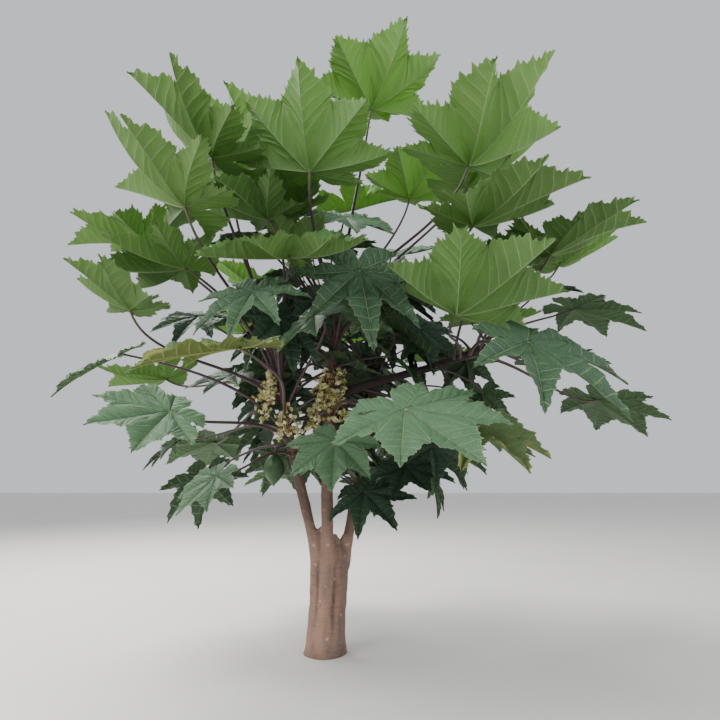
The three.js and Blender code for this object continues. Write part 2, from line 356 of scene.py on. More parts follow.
class NodeSheet:
    """The node tree of one material."""

    def __init__(self, name: str) -> None:
        """Starts an empty material.

        Args:
            name: The material's name.
        """
        self.material = bpy.data.materials.new(name)
        self.material.use_nodes = True
        self.tree = self.material.node_tree
        self.tree.nodes.clear()

    def add(self, kind: str, inputs: dict, output: int | str = 0, **settings: object) -> Wire:
        """Adds a node of any kind.

        Args:
            kind: The node's type.
            inputs: Values or wires by the input's name, identifier or number.
            output: The output that is wanted, by name, identifier or number.
            settings: Properties of the node.

        Returns:
            The wanted output.
        """
        node = self.tree.nodes.new(kind)
        for name, value in settings.items():
            setattr(node, name, value)
        for key, value in inputs.items():
            socket = self.found(node.inputs, key)
            if isinstance(value, Wire):
                self.tree.links.new(value.socket, socket)
            else:
                socket.default_value = value
        return Wire(self, self.found(node.outputs, output))

    @staticmethod
    def found(sockets: Sequence[bpy.types.NodeSocket], key: int | str) -> bpy.types.NodeSocket:
        """Finds a socket.

        Args:
            sockets: A node's inputs or outputs.
            key: The socket's identifier, name or number.

        Returns:
            The socket.
        """
        if isinstance(key, int):
            return sockets[key]
        named = [socket for socket in sockets if socket.identifier == key]
        return named[0] if named else sockets[key]

    def mark(self, name: str) -> Wire:
        """Reads the mark of this name, a number that the mesh carries."""
        return self.add("ShaderNodeAttribute", {}, "Fac", attribute_name=name)

    def place(self, stretch: Triple = (1.0, 1.0, 1.0)) -> Wire:
        """Reads the place on the piece, stretched along X, Y and Z."""
        place = self.add("ShaderNodeTexCoord", {}, "Object")
        return self.add("ShaderNodeVectorMath", {0: place, 1: stretch}, operation="MULTIPLY")

    def noise(self, scale: float, detail: float, stretch: Triple = (1.0, 1.0, 1.0)) -> Wire:
        """Adds a pattern from 0 to 1, with so many clouds to a metre and so many finer layers."""
        inputs = {"Vector": self.place(stretch), "Scale": scale, "Detail": detail}
        return self.add("ShaderNodeTexNoise", inputs)

    def cells(self, scale: float, stretch: Triple = (1.0, 1.0, 1.0), feature: str = "F1") -> Wire:
        """Scatters points to a metre, and measures from the nearest or from the edges between them."""
        inputs = {"Vector": self.place(stretch), "Scale": scale}
        return self.add("ShaderNodeTexVoronoi", inputs, "Distance", feature=feature)

    def network(self, scale: float, width: float) -> Wire:
        """Adds a net of lines, their width a share of its meshes: 1 on them and 0 between them."""
        return 1 - self.cells(scale, feature="DISTANCE_TO_EDGE").step(0.0, width)

    def specks(self, scale: float, radius: float, stretch: Triple) -> Wire:
        """Adds specks, their radius a share of their spacing: 1 on them and 0 between them."""
        return 1 - self.cells(scale, stretch).step(radius * 0.5, radius)

    @staticmethod
    def tinted(colour: Wire | int) -> Wire | tuple[float, ...]:
        """Turns a colour code into what a socket takes, and leaves a wire as it is."""
        return colour if isinstance(colour, Wire) else paint(colour)

    def blend(self, share: Wire | float, low: Wire | int, high: Wire | int) -> Wire:
        """Mixes two colours; the share is that of the second one."""
        inputs = {"Factor_Float": share, "A_Color": self.tinted(low), "B_Color": self.tinted(high)}
        return self.add("ShaderNodeMix", inputs, "Result_Color", data_type="RGBA")

    def relief(self, height: Wire, depth: float) -> Wire:
        """Turns a height into a normal; the depth is what a height of 1 stands for, in metres."""
        return self.add("ShaderNodeBump", {"Height": height, "Distance": depth, "Strength": 1.0})

    def finished(
        self,
        colour: Wire | int,
        roughness: Wire | float,
        normal: Wire | None = None,
        through: int | None = None,
        share: float = 0.0,
        gloss: float = 0.5,
    ) -> bpy.types.Material:
        """Closes the material with its shader.

        Args:
            colour: The surface's colour.
            roughness: The surface's roughness.
            normal: The surface's normal, where it has relief.
            through: Colour of the light that comes through, where some does.
            share: Share of that light.
            gloss: The specular level.

        Returns:
            The material.
        """
        inputs = {"Base Color": self.tinted(colour), "Roughness": roughness, "Specular IOR Level": gloss}
        if normal is not None:
            inputs["Normal"] = normal
        shader = self.add("ShaderNodeBsdfPrincipled", inputs)
        if through is not None:
            passing = self.add("ShaderNodeBsdfTranslucent", {"Color": self.tinted(through)})
            shader = self.add("ShaderNodeMixShader", {0: share, 1: shader, 2: passing})
        end = self.tree.nodes.new("ShaderNodeOutputMaterial")
        self.tree.links.new(shader.socket, end.inputs["Surface"])
        return self.material


class Habit(Enum):
    """How a leaf carries itself and how old it looks; the SHADED finishes are darker, painted shade for
    leaves inside the crown.
    """

    YOUNG = "young"
    GROWN = "grown"
    OLD = "old"
    DEEP = "deep"
    FADING = "fading"
    SHADED = "shaded"


@dataclass(frozen=True)
class Carriage:
    """How a blade of one habit is bent, in shares of its size.

    Attributes:
        cup: Lift of the rim.
        pleat: Lift of the tissue between the main veins.
        droop: Fall of the tips.
        fold: Lift of what lies behind the hub.
        bay: Reach of a bay between two lobes as a share of the shorter lobe.
        tooth: Size of the margin's teeth.
        ruffle: Waves along the margin.
        curl: How far single lobes bend up or down.
    """

    cup: float
    pleat: float
    droop: float
    fold: float
    bay: float
    tooth: float
    ruffle: float
    curl: float


CARRIAGES = {
    Habit.YOUNG: Carriage(0.16, 0.24, 0.0, 1.2, bay=0.66, tooth=0.03, ruffle=0.016, curl=0.12),
    Habit.GROWN: Carriage(0.12, 0.22, 0.0, 0.6, bay=0.65, tooth=0.03, ruffle=0.018, curl=0.14),
    Habit.OLD: Carriage(-0.03, 0.11, 0.03, 0.0, bay=0.68, tooth=0.024, ruffle=0.012, curl=0.08),
    Habit.DEEP: Carriage(-0.04, 0.12, 0.07, 0.0, bay=0.5, tooth=0.02, ruffle=0.012, curl=0.1),
    Habit.FADING: Carriage(-0.06, 0.22, 0.06, 0.0, bay=0.6, tooth=0.03, ruffle=0.02, curl=0.16),
    Habit.SHADED: Carriage(-0.06, 0.14, 0.06, 0.0, bay=0.56, tooth=0.03, ruffle=0.012, curl=0.12),
}


@dataclass(frozen=True)
class LeafFinish:
    """Finish of one side of the blades of one habit. Its colours are display colours.

    Attributes:
        deep: Tissue in its darker tone.
        light: Tissue in its lighter tone.
        vein: Main and side veins.
        faded: Tissue that has turned.
        fading: Share of the blade that has turned, from 0 to 1.
        through: Colour of the light that comes through.
        lit: Share of that light.
    """

    deep: int
    light: int
    vein: int
    faded: int
    fading: float
    through: int
    lit: float

    def material(self, name: str, raised: bool) -> bpy.types.Material:
        """Makes the material.

        Args:
            name: The material's name.
            raised: Whether the veins stand out of the surface or lie in it.

        Returns:
            The material.
        """
        side_veins, way = (0.85, 1.0) if raised else (0.42, -1.0)
        sheet = NodeSheet(name)
        # Mottled tissue in two tones, with turned patches that gather at the rim and the tips.
        cloud = sheet.noise(scale=7.0, detail=3.0)
        grain = sheet.noise(scale=60.0, detail=2.0)
        edge = sheet.mark("edge")
        tone = (sheet.mark("tint") + (cloud - 0.5) * 0.9 + (grain - 0.5) * 0.3).clamped()
        tissue = sheet.blend(tone, self.deep, self.light)
        patches = sheet.noise(scale=6.0, detail=4.0) * 0.8
        patches = patches + edge * edge * 0.35 + sheet.mark("reach") * 0.3
        turned = (patches - (1.15 - self.fading * 0.8)).step(0.0, 0.3)
        tissue = sheet.blend(turned, tissue, self.faded)
        # Pale main and side veins, the fine net between them, and a thin pale rim, which is painted light
        # through the margin.
        rib = sheet.mark("rib").step(0.2, 0.85)
        vein = sheet.mark("vein").step(0.66, 1.0)
        net = sheet.network(scale=70.0, width=0.12)
        rim = edge.step(0.95, 1.0)
        lines = (rib * 0.8).larger(vein * side_veins).larger(net * 0.14).larger(rim * 0.45)
        colour = sheet.blend(lines.clamped(), tissue, self.vein)
        height = (rib + vein * 0.6) * way + net * (0.3 * way) + grain * 0.15
        roughness = 0.54 + (cloud - 0.5) * 0.25 + lines * 0.1
        normal = sheet.relief(height, depth=0.0035)
        return sheet.finished(colour, roughness, normal, self.through, self.lit, gloss=0.35)


@dataclass(frozen=True)
class BarkFinish:
    """Finish of the trunk, the stems and the bough. Its colours are display colours.

    Attributes:
        name: The material's name.
        warm: The pinkish tone.
        grey: The greyer tone.
        furrow_and_shade: The tone in furrows and under scars, and of the painted shade in the grooves
            between the flutes and under the fork.
        pale: Scars and specks.
        shaded: The tone of the painted shade on the upper limbs and on the trunk's right flute.
    """

    name: str
    warm: int
    grey: int
    furrow_and_shade: int
    pale: int
    shaded: int

    def material(self) -> bpy.types.Material:
        """Makes the material.

        Returns:
            The material.
        """
        sheet = NodeSheet(self.name)
        # Two tones in clouds, streaks along the limb and rings round it.
        streaks = sheet.noise(scale=14.0, detail=5.0, stretch=(1.0, 1.0, 0.25))
        rings = sheet.noise(scale=9.0, detail=4.0, stretch=(1.0, 1.0, 9.0))
        clouds = sheet.noise(scale=4.5, detail=3.0)
        grain = sheet.noise(scale=120.0, detail=3.0, stretch=(1.0, 1.0, 0.5))
        tone = ((clouds - 0.5) * 1.4 + (streaks - 0.5) * 1.4 + (rings - 0.5) * 1.1 + 0.5).clamped()
        colour = sheet.blend(tone, self.warm, self.grey)
        # Darker rings, furrows with the painted shade in the grooves and under the fork, leaf scars, pale
        # specks and dark pits, and over all the painted shade of the upper limbs and the right flute.
        colour = sheet.blend(rings.step(0.56, 0.7) * 0.14, colour, self.furrow_and_shade)
        colour = sheet.blend(sheet.mark("furrow_and_shade").clamped(), colour, self.furrow_and_shade)
        colour = sheet.blend((sheet.mark("scar") * 0.75).clamped(), colour, self.pale)
        specks = sheet.specks(scale=62.0, radius=0.24, stretch=(1.0, 1.0, 0.7))
        specks = specks * streaks.step(0.46, 0.6)
        colour = sheet.blend(specks * 0.55, colour, self.pale)
        pits = sheet.specks(scale=48.0, radius=0.2, stretch=(1.0, 1.0, 1.4)) * clouds.step(0.42, 0.6)
        colour = sheet.blend(pits * 0.6, colour, self.furrow_and_shade)
        colour = sheet.blend(sheet.mark("shade"), colour, self.shaded)
        height = grain * 0.4 + streaks * 0.6 + rings * 0.55 + specks * 0.3 - pits * 0.3
        return sheet.finished(colour, 0.75 + grain * 0.2, sheet.relief(height, depth=0.0035), gloss=0.3)


@dataclass(frozen=True)
class StalkFinish:
    """Finish of the leaf stalks and the blossom's stalks. Its colours are display colours.

    Attributes:
        name: The material's name.
        foot: Colour where the stalk leaves its stem.
        middle: Colour along the stalk.
        tip: Colour where it meets the blade.
    """

    name: str
    foot: int
    middle: int
    tip: int

    def material(self) -> bpy.types.Material:
        """Makes the material.

        Returns:
            The material.
        """
        sheet = NodeSheet(self.name)
        run = sheet.mark("run")
        mottle = (sheet.noise(scale=40.0, detail=3.0) - 0.5) * 0.5
        colour = sheet.blend((run + mottle * 0.3).step(0.0, 0.25), self.foot, self.middle)
        colour = sheet.blend((run + mottle * 0.4).step(0.82, 1.05), colour, self.tip)
        ridges = sheet.noise(scale=90.0, detail=2.0)
        return sheet.finished(colour, 0.4 + ridges * 0.2, sheet.relief(ridges, depth=0.001), gloss=0.5)


@dataclass(frozen=True)
class SkinFinish:
    """Finish of fruit, petals and buds. Its colours are display colours.

    Attributes:
        name: The material's name.
        deep: The darker tone.
        light: The lighter tone.
        roughness: The roughness.
        scale: Clouds of the tones to a metre.
        lit: Share of the light that comes through.
    """

    name: str
    deep: int
    light: int
    roughness: float
    scale: float
    lit: float = 0.0

    def material(self) -> bpy.types.Material:
        """Makes the material.

        Returns:
            The material.
        """
        sheet = NodeSheet(self.name)
        tone = sheet.noise(self.scale, detail=3.0).step(0.35, 0.65)
        colour = sheet.blend(tone, self.deep, self.light)
        pores = sheet.noise(self.scale * 12, detail=2.0)
        through = self.light if self.lit else None
        normal = sheet.relief(pores, depth=0.0006)
        return sheet.finished(colour, self.roughness + pores * 0.1, normal, through, self.lit)


# Lower and upper sides of the blades. The SHADED ones are darker copies, painted shade for the small leaves
# inside the crown.
UNDERSIDES = {
    Habit.YOUNG: LeafFinish(0x62894B, 0x8CB368, 0xBED19E, 0xB4BE58, 0.12, 0x94BE42, 0.43),
    Habit.GROWN: LeafFinish(0x567A41, 0x799C57, 0xB4C792, 0xA8AD56, 0.14, 0x84AE40, 0.4),
    Habit.OLD: LeafFinish(0x3F5C3A, 0x5B7A50, 0x93A97F, 0xA4A55A, 0.12, 0x6E9446, 0.22),
    Habit.DEEP: LeafFinish(0x304A30, 0x496743, 0x86A075, 0xA4A55A, 0.06, 0x5C8040, 0.2),
    Habit.FADING: LeafFinish(0x5C6E37, 0x7A894A, 0xBCC07A, 0xC6C872, 0.42, 0xA2AC4C, 0.32),
    Habit.SHADED: LeafFinish(0x263C26, 0x3A5635, 0x6C8760, 0x7F8448, 0.05, 0x4E7038, 0.16),
}
UPPERSIDES = {
    Habit.YOUNG: LeafFinish(0x4D7C37, 0x709E49, 0xAECA84, 0xB4BE58, 0.12, 0x94BE42, 0.36),
    Habit.GROWN: LeafFinish(0x3F6A39, 0x5A864A, 0xA2BE84, 0xA8AD56, 0.12, 0x84AE40, 0.28),
    Habit.OLD: LeafFinish(0x426B4A, 0x668E6A, 0xC9D3A2, 0xA4A55A, 0.1, 0x6E9446, 0.16),
    Habit.DEEP: LeafFinish(0x2B4A33, 0x43684A, 0xB4C596, 0xA4A55A, 0.06, 0x5C8040, 0.14),
    Habit.FADING: LeafFinish(0x4A6844, 0x668252, 0xC4CA94, 0xCCCE78, 0.4, 0xA2AC4C, 0.24),
    Habit.SHADED: LeafFinish(0x233A2A, 0x375640, 0x7C9570, 0x7F8448, 0.04, 0x4E7038, 0.12),
}
BARK = BarkFinish("bark", 0xAC8673, 0x8C776C, 0x43322E, 0xC4AF98, 0x2F2725)
LEAF_STALK = StalkFinish("leaf_stalk", 0x4E4036, 0x432F33, 0x55573A)
BLOSSOM_STALK = StalkFinish("blossom_stalk", 0x4A2F2A, 0x6B3B34, 0x7B5B44)
CREAM_PETAL = SkinFinish("petal_cream", 0xCFC78E, 0xE9E3BC, 0.55, 60.0, 0.25)
YELLOW_PETAL = SkinFinish("petal_yellow", 0xA9A04C, 0xCCC070, 0.55, 60.0, 0.25)
GREEN_BUD = SkinFinish("bud_green", 0x6F7E42, 0x97A05C, 0.5, 60.0)
RED_BUD = SkinFinish("bud_red", 0x7A4038, 0x9C6A58, 0.5, 60.0)
FRUIT_SKIN = SkinFinish("fruit_skin", 0x243E20, 0x37592D, 0.38, 9.0)


@dataclass(frozen=True)
class Stem:
    """One stem, or the side bough.

    Attributes:
        path: Control points of its centreline.
        foot: Radius at its foot.
        tip: Radius at its tip.
        shade: How dark the painted shade on its bark is, from 0 to 1.
        slimming: Power of the share; under 1, the radius falls off fast just over the foot.
    """

    path: tuple[Triple, ...]
    foot: float
    tip: float
    shade: float
    slimming: float = 0.4

    @property
    def curve(self) -> Bezier:
        """The centreline."""
        return Bezier(np.array(self.path))

    def radii(self, shares: Array) -> Array:
        """Tells the radii at shares of the way up."""
        return self.foot + (self.tip - self.foot) * shares**self.slimming


STEMS = {
    "centre": Stem(
        ((0.015, -0.06, 0.59), (-0.01, -0.04, 1.1), (0, -0.05, 1.7), (0.06, -0.05, 2.3)),
        foot=0.05, tip=0.036, shade=0.56,
    ),
    "left": Stem(
        ((-0.068, -0.008, 0.59), (-0.13, -0.03, 0.95), (-0.22, -0.1, 1.2), (-0.37, -0.18, 1.95)),
        foot=0.047, tip=0.032, shade=0.68,
    ),
    "rear": Stem(
        ((0.122, 0.048, 0.59), (0.19, 0.17, 1.0), (0.3, 0.45, 1.5), (0.36, 0.55, 2.05)),
        foot=0.049, tip=0.033, shade=0.68,
    ),
    "right": Stem(
        ((0.024, -0.052, 1.706), (0.3, -0.1, 1.85), (0.7, -0.2, 1.85), (1.12, -0.3, 2.05)),
        foot=0.036, tip=0.026, shade=1.0,
    ),
}


class Links:
    """The edges of a closed skin, each in both directions."""

    def __init__(self, corners: Array, vertices: int) -> None:
        """Lists the edges of a skin with so many vertices, from the corners of its triangles."""
        self.ends = np.concatenate([corners[:, [0, 1]], corners[:, [1, 2]], corners[:, [2, 0]]])
        self.count = np.bincount(self.ends[:, 0], minlength=vertices)

    def mean(self, values: Array) -> Array:
        """Takes the mean over each vertex's neighbours.

        Args:
            values: A number or a vector for each vertex.

        Returns:
            The means, one for each vertex.
        """
        total = np.zeros_like(values)
        np.add.at(total, self.ends[:, 0], values[self.ends[:, 1]])
        return (total.T / self.count).T


@dataclass(frozen=True)
class Bark:
    """The mesh of trunk, stems and bough with the bark's relief.

    Attributes:
        trunk_path: Control points of the trunk's centreline.
        trunk_rings: Share of the trunk's height, radius, and how far the flutes stand out.
        flutes: Direction and weight of each flute, one below every stem.
        flute_width: Spread of a flute in degrees.
        grooves: Direction of each groove between the flutes, the share of the height where it starts,
            and its depth.
        groove_width: Spread of a groove in degrees.
        groove_rise: Share of the height over which a groove comes in.
        rings: Rings up the trunk and up a stem.
        sides: Sides of the trunk, a stem and a web.
        stem_end: Share of a stem where its rounded tip begins.
        stem_tip: Share of the stem and share of the radius at the rings of the tip.
        webs: Place, top and radius of the bark between two stems just over the fork.
        web_slimming: Share of its radius that a web loses to its top.
        voxel: Spacing of the mesh's vertices.
        fork: Heights between which the stems melt into the trunk.
        soften: Rounds of smoothing there.
        soften_all: Rounds of smoothing everywhere.
        pull: Share of the way that a round moves a vertex.
        hollow_rounds: Rounds that spread the measure of a hollow.
        hollow_full: The measure, in shares of the spacing, that counts as a full hollow.
        hollow_most: How dark the painted shade in a hollow gets, from 0 to 1.
        scar_spacing: Height from one leaf scar to the next.
        scar_size: Half width and half height of a leaf scar on a stem.
        scar_narrow: Factor on the width of a scar on the trunk.
        scar_margin: Length without scars at the ends of a limb.
        girth: Usual radius of the trunk and of a stem.
        shade_from: Height over which the stems' painted shade comes in.
        shade_mix: Distance over which the shades of two limbs mix.
        painted_flute_shade: How dark the painted shade on the flute to the right is, its direction and its
            spread in degrees.
        ridge_height: Height of the fine ridges along a limb.
        lump_height: Height of the soft lumps.
        lip_height: Height of the lip round a scar.
        scar_depth: Depth of a scar.
        slight: Share of the ridges and lumps that a stem has.
        foot_darkening: How dark the foot is, from 0 to 1, and how much that falls in a metre.
    """

    trunk_path: tuple[Triple, ...] = ((0, 0, 0), (0.006, 0, 0.2), (0.022, 0, 0.44), (0.029, 0, 0.7))
    trunk_rings: tuple[Triple, ...] = (
        (0, 0.128, 0.16), (0.06, 0.122, 0.14), (0.15, 0.117, 0.13), (0.3, 0.112, 0.14),
        (0.5, 0.107, 0.17), (0.68, 0.102, 0.26), (0.82, 0.098, 0.36), (0.93, 0.09, 0.5),
        (0.98, 0.075, 0.52), (1, 0.05, 0.5),
    )
    flutes: tuple[tuple[float, float], ...] = ((186, 1.12), (-102, 0.62), (27, 1.2))
    flute_width: float = 34.0
    grooves: tuple[Triple, ...] = ((-136, 0.15, 0.19), (-66, 0.0, 0.22), (105, 0.4, 0.12))
    groove_width: float = 17.0
    groove_rise: float = 0.4
    rings: int = 60
    sides: tuple[int, int, int] = (96, 24, 16)
    stem_end: float = 0.985
    stem_tip: tuple[tuple[float, float], ...] = ((0.992, 0.85), (0.998, 0.5))
    webs: tuple[tuple[float, float, float, float], ...] = (
        (-0.046, -0.022, 0.83, 0.033), (0.06, 0.0, 0.78, 0.046), (0.12, 0.045, 0.78, 0.046),
        (0.04, 0.03, 0.78, 0.05),
    )
    web_slimming: float = 0.6
    voxel: float = 0.006
    fork: tuple[float, float] = (0.54, 0.9)
    soften: int = 56
    soften_all: int = 4
    pull: float = 0.6
    hollow_rounds: int = 14
    hollow_full: float = 0.05
    hollow_most: float = 0.6
    scar_spacing: float = 0.046
    scar_size: tuple[float, float] = (0.013, 0.009)
    scar_narrow: float = 0.8
    scar_margin: float = 0.03
    girth: tuple[float, float] = (0.12, 0.045)
    shade_from: tuple[float, float] = (0.74, 0.94)
    shade_mix: float = 0.02
    painted_flute_shade: Triple = (0.26, -15.0, 50.0)
    ridge_height: float = 0.0014
    lump_height: float = 0.002
    lip_height: float = 0.0014
    scar_depth: float = 0.0008
    slight: float = 0.4
    foot_darkening: tuple[float, float] = (0.35, 4.0)

    @property
    def trunk_curve(self) -> Bezier:
        """The trunk's centreline."""
        return Bezier(np.array(self.trunk_path, float))

    def trunk_profile(self, shares: Array) -> tuple[Array, Array]:
        """Reads the trunk's radii, and how far its flutes stand out, at shares of its height."""
        heights, radii, flutes = np.array(self.trunk_rings).T
        return np.interp(shares, heights, radii), np.interp(shares, heights, flutes)

    def trunk_swell(self, turns: Array, at: Array) -> Array:
        """Tells how the flutes and grooves change the trunk's radius.

        Args:
            turns: Direction of each ring's sides in degrees.
            at: Share of the height at each ring.

        Returns:
            Factors on the radius, for each ring and side.
        """
        bumps = sum(
            weight * np.exp(-((apart(turns, direction) / self.flute_width) ** 2))
            for direction, weight in self.flutes
        )
        cuts = sum(
            depth * np.clip((at[:, None] - start) / self.groove_rise, 0, 1)
            * np.exp(-((apart(turns, direction) / self.groove_width) ** 2))
            for direction, start, depth in self.grooves
        )
        _, flutes = self.trunk_profile(at)
        return 1 + flutes[:, None] * bumps - cuts

    def trunk(self) -> Surface:
        """Builds the trunk as a closed solid.

        Returns:
            The trunk.
        """
        shares = np.linspace(0, 1, self.rings)
        radii, _ = self.trunk_profile(shares)
        curve, swell = self.trunk_curve, self.trunk_swell
        return tube(curve, shares, radii, self.sides[0], BACKWARD, level=True, swell=swell)

    def stem(self, stem: Stem) -> Surface:
        """Builds one stem as a closed solid with a rounded tip.

        Args:
            stem: The stem.

        Returns:
            The solid.
        """
        tip, narrowing = np.array(self.stem_tip).T
        shares = np.append(np.linspace(0, self.stem_end, self.rings), tip)
        radii = stem.radii(shares)
        radii[-len(tip):] *= narrowing
        return tube(stem.curve, shares, radii, self.sides[1], BACKWARD)

    def web(self, x: float, y: float, top: float, radius: float) -> Surface:
        """Builds the bark that fills the corner between two stems.

        Args:
            x: Its place along X.
            y: Its place along Y.
            top: Its height.
            radius: Its radius at the foot.

        Returns:
            The solid.
        """
        curve = Bezier(np.array([[x, y, self.fork[0]], [x, y, top]]))
        shares = np.linspace(0, 1, 12)
        return tube(curve, shares, radius * (1 - self.web_slimming * shares**3), self.sides[2], BACKWARD)

    def fused(self) -> tuple[Array, Array]:
        """Melts all the limbs into one skin.

        Returns:
            Vertex positions, and the corners of its triangles.
        """
        webs = [self.web(*web) for web in self.webs]
        limbs = Surface.joined([self.trunk(), *(self.stem(stem) for stem in STEMS.values()), *webs])
        rough = linked("rough_limbs", limbs.mesh("rough_limbs", 30))
        remesh = rough.modifiers.new("melt", "REMESH")
        remesh.mode = "VOXEL"
        remesh.voxel_size = self.voxel
        graph = bpy.context.evaluated_depsgraph_get()
        mesh = bpy.data.meshes.new_from_object(rough.evaluated_get(graph))
        places = np.empty(len(mesh.vertices) * 3)
        mesh.vertices.foreach_get("co", places)
        mesh.calc_loop_triangles()
        corners = np.empty(len(mesh.loop_triangles) * 3, np.int64)
        mesh.loop_triangles.foreach_get("vertices", corners)
        bpy.data.objects.remove(rough)
        return places.reshape(-1, 3), corners.reshape(-1, 3)

    def softened(self, places: Array, links: Links) -> Array:
        """Smooths the skin where the stems leave the trunk, and a little everywhere.

        Args:
            places: Vertex positions.
            links: The skin's edges.

        Returns:
            The smoothed positions.
        """
        low, high = self.fork
        middle = (low + high) / 2
        near = np.clip(1.3 - np.abs(places[:, 2] - middle) / (high - middle), 0, 1)[:, None]
        soft = places.copy()
        for turn in range(self.soften):
            weight = near if turn >= self.soften_all else np.ones_like(near)
            soft += (links.mean(soft) - soft) * weight * self.pull
        soft[:, 2] = np.maximum(soft[:, 2], 0)
        return soft

    def beside(self, places: Array) -> Iterator[tuple[Array, Array, Array, float]]:
        """Goes through the limbs, and tells where each vertex lies beside them.

        Args:
            places: Vertex positions.

        Yields:
            Run along the limb, direction round it in degrees, distance outside its skin, and its painted
            shade.
        """
        samples = np.linspace(0, 1, 80)
        trunk_radii, _ = self.trunk_profile(samples)
        flute_room = 1.1
        limbs = [(self.trunk_curve.at(samples), trunk_radii * flute_room, 0.0)]
        for stem in STEMS.values():
            limbs.append((stem.curve.at(samples), stem.radii(samples), stem.shade))
        for centres, radii, shade in limbs:
            lying = abs(centres[-1, 0] - centres[0, 0]) > abs(centres[-1, 2] - centres[0, 2])
            axis, across, over = (0, 1, 2) if lying else (2, 0, 1)
            run = places[:, axis]
            beyond = np.maximum(centres[0, axis] - run, 0) + np.maximum(run - centres[-1, axis], 0)
            u = places[:, across] - np.interp(run, centres[:, axis], centres[:, across])
            v = places[:, over] - np.interp(run, centres[:, axis], centres[:, over])
            outside = np.hypot(u, v) - np.interp(run, centres[:, axis], radii) + beyond * 4
            yield run, np.degrees(np.arctan2(v, u)), outside, shade

    @staticmethod
    def normals(places: Array, corners: Array) -> Array:
        """Finds the unit normal at each vertex.

        Args:
            places: Vertex positions.
            corners: Corners of the triangles.

        Returns:
            The normals.
        """
        a, b, c = (places[corners[:, column]] for column in range(3))
        sides = np.cross(b - a, c - a)
        normals = np.zeros_like(places)
        for column in range(3):
            np.add.at(normals, corners[:, column], sides)
        return unit(normals)

    def shading(self, height: Array, turn: Array, home: Array, outside: Array, shades: Array) -> Array:
        """Finds the painted shade on the bark: up the stems, and on the flute to the right.

        Args:
            height: Height of each vertex.
            turn: Direction round its limb in degrees.
            home: Number of its limb, 0 for the trunk.
            outside: Distance of each vertex outside each limb's skin.
            shades: Painted shade of each limb.

        Returns:
            The painted shade of each vertex, from 0 to 1.
        """
        # The stems' painted shade mixes where limbs meet and comes in up the stems.
        near = np.exp(-np.maximum(outside - outside.min(axis=0), 0) / self.shade_mix)
        shade = (near * shades[:, None]).sum(axis=0) / near.sum(axis=0)
        low, high = self.shade_from
        shade = shade * np.clip((height - low) / (high - low), 0, 1)
        # Painted shade on the trunk's flute to the right.
        dark, direction, spread = self.painted_flute_shade
        painted_flute_shade = dark * np.exp(-((apart(turn, direction) / spread) ** 4))
        return np.maximum(shade, (home == 0) * painted_flute_shade)

    def hollow_shade(self, places: Array, links: Links, normals: Array) -> Array:
        """Finds the grooves between the flutes and under the fork, where shade is painted.

        Args:
            places: Vertex positions.
            links: The skin's edges.
            normals: Unit normal at each vertex.

        Returns:
            How dark the painted shade in the hollow at each vertex is, from 0 to 1.
        """
        bulge = ((links.mean(places) - places) * normals).sum(axis=1)
        for _ in range(self.hollow_rounds):
            bulge = (bulge + links.mean(bulge)) / 2
        return np.clip(bulge / self.voxel / self.hollow_full, 0, self.hollow_most)

    def scars(self, run: Array, turn: Array, home: Array) -> tuple[Array, Array]:
        """Lays leaf scars up every limb in a spiral.

        Args:
            run: Place along the limb.
            turn: Direction round it in degrees.
            home: Number of the limb, 0 for the trunk.

        Returns:
            How far each vertex is inside a scar, and on the lip round one.
        """
        inside, lip = np.zeros_like(run), np.zeros_like(run)
        wide, tall = self.scar_size
        for limb in np.unique(home):
            here = home == limb
            narrow, radius = (self.scar_narrow, self.girth[0]) if limb == 0 else (1.0, self.girth[1])
            first = run[here].min() + self.scar_margin
            last = run[here].max() - self.scar_margin
            for k, at in enumerate(np.arange(first, last, self.scar_spacing)):
                away = np.radians(apart(turn[here], k * GOLDEN_ANGLE)) * radius
                reach = np.hypot(away / (wide * narrow), (run[here] - at) / tall)
                inside[here] = np.maximum(inside[here], np.clip(1.5 - reach, 0, 1))
                lip[here] = np.maximum(lip[here], np.exp(-(((reach - 1.3) / 0.5) ** 2)))
        return inside, lip

    def build(self) -> Surface:
        """Builds the skin with its scars, furrows and painted shade.

        Returns:
            The skin, with marks for its scars, for its furrows with the painted shade in the hollows, and
            for the painted shade of the upper limbs and the right flute.
        """
        places, corners = self.fused()
        links = Links(corners, len(places))
        places = self.softened(places, links)
        normals = self.normals(places, corners)
        runs, turns, outside, shades = (np.array(column) for column in zip(*self.beside(places)))
        home = outside.argmin(axis=0)
        run, turn = np.choose(home, runs), np.choose(home, turns)
        level = places[:, 2]
        scar, lip = self.scars(run, turn, home)
        # Fine ridges wander up the bark, and soft lumps lie under them.
        wander = np.sin(run * 9 + home) * 25
        ridges = np.sin(np.radians((turn + wander) * 7)) + 0.6 * np.sin(np.radians((turn - wander) * 13))
        lumps = np.sin(run * 31 + np.radians(turn) * 2) * np.sin(run * 17 - np.radians(turn))
        thick = np.where(home == 0, 1.0, self.slight)
        height = (self.ridge_height * ridges + self.lump_height * lumps) * thick
        height = height + self.lip_height * lip - self.scar_depth * scar
        height = height * np.clip(level / 0.02, 0, 1)
        # The bark is darker towards the foot.
        dark, fall = self.foot_darkening
        # Painted shade in the grooves between the flutes and under the fork, with darker troughs between the
        # fine ridges.
        furrow_and_shade = self.hollow_shade(places, links, normals) + np.clip(-ridges * 0.12, 0, 0.2) * thick
        marks = {
            "scar": scar,
            "furrow_and_shade": furrow_and_shade + np.clip(dark - level * fall, 0, dark),
            "shade": self.shading(level, turn, home, outside, shades),
        }
        relieved = places + normals * height[:, None]
        relieved[:, 2] = np.maximum(relieved[:, 2], 0)
        return Surface(relieved, corners, np.zeros(len(corners), int), marks)


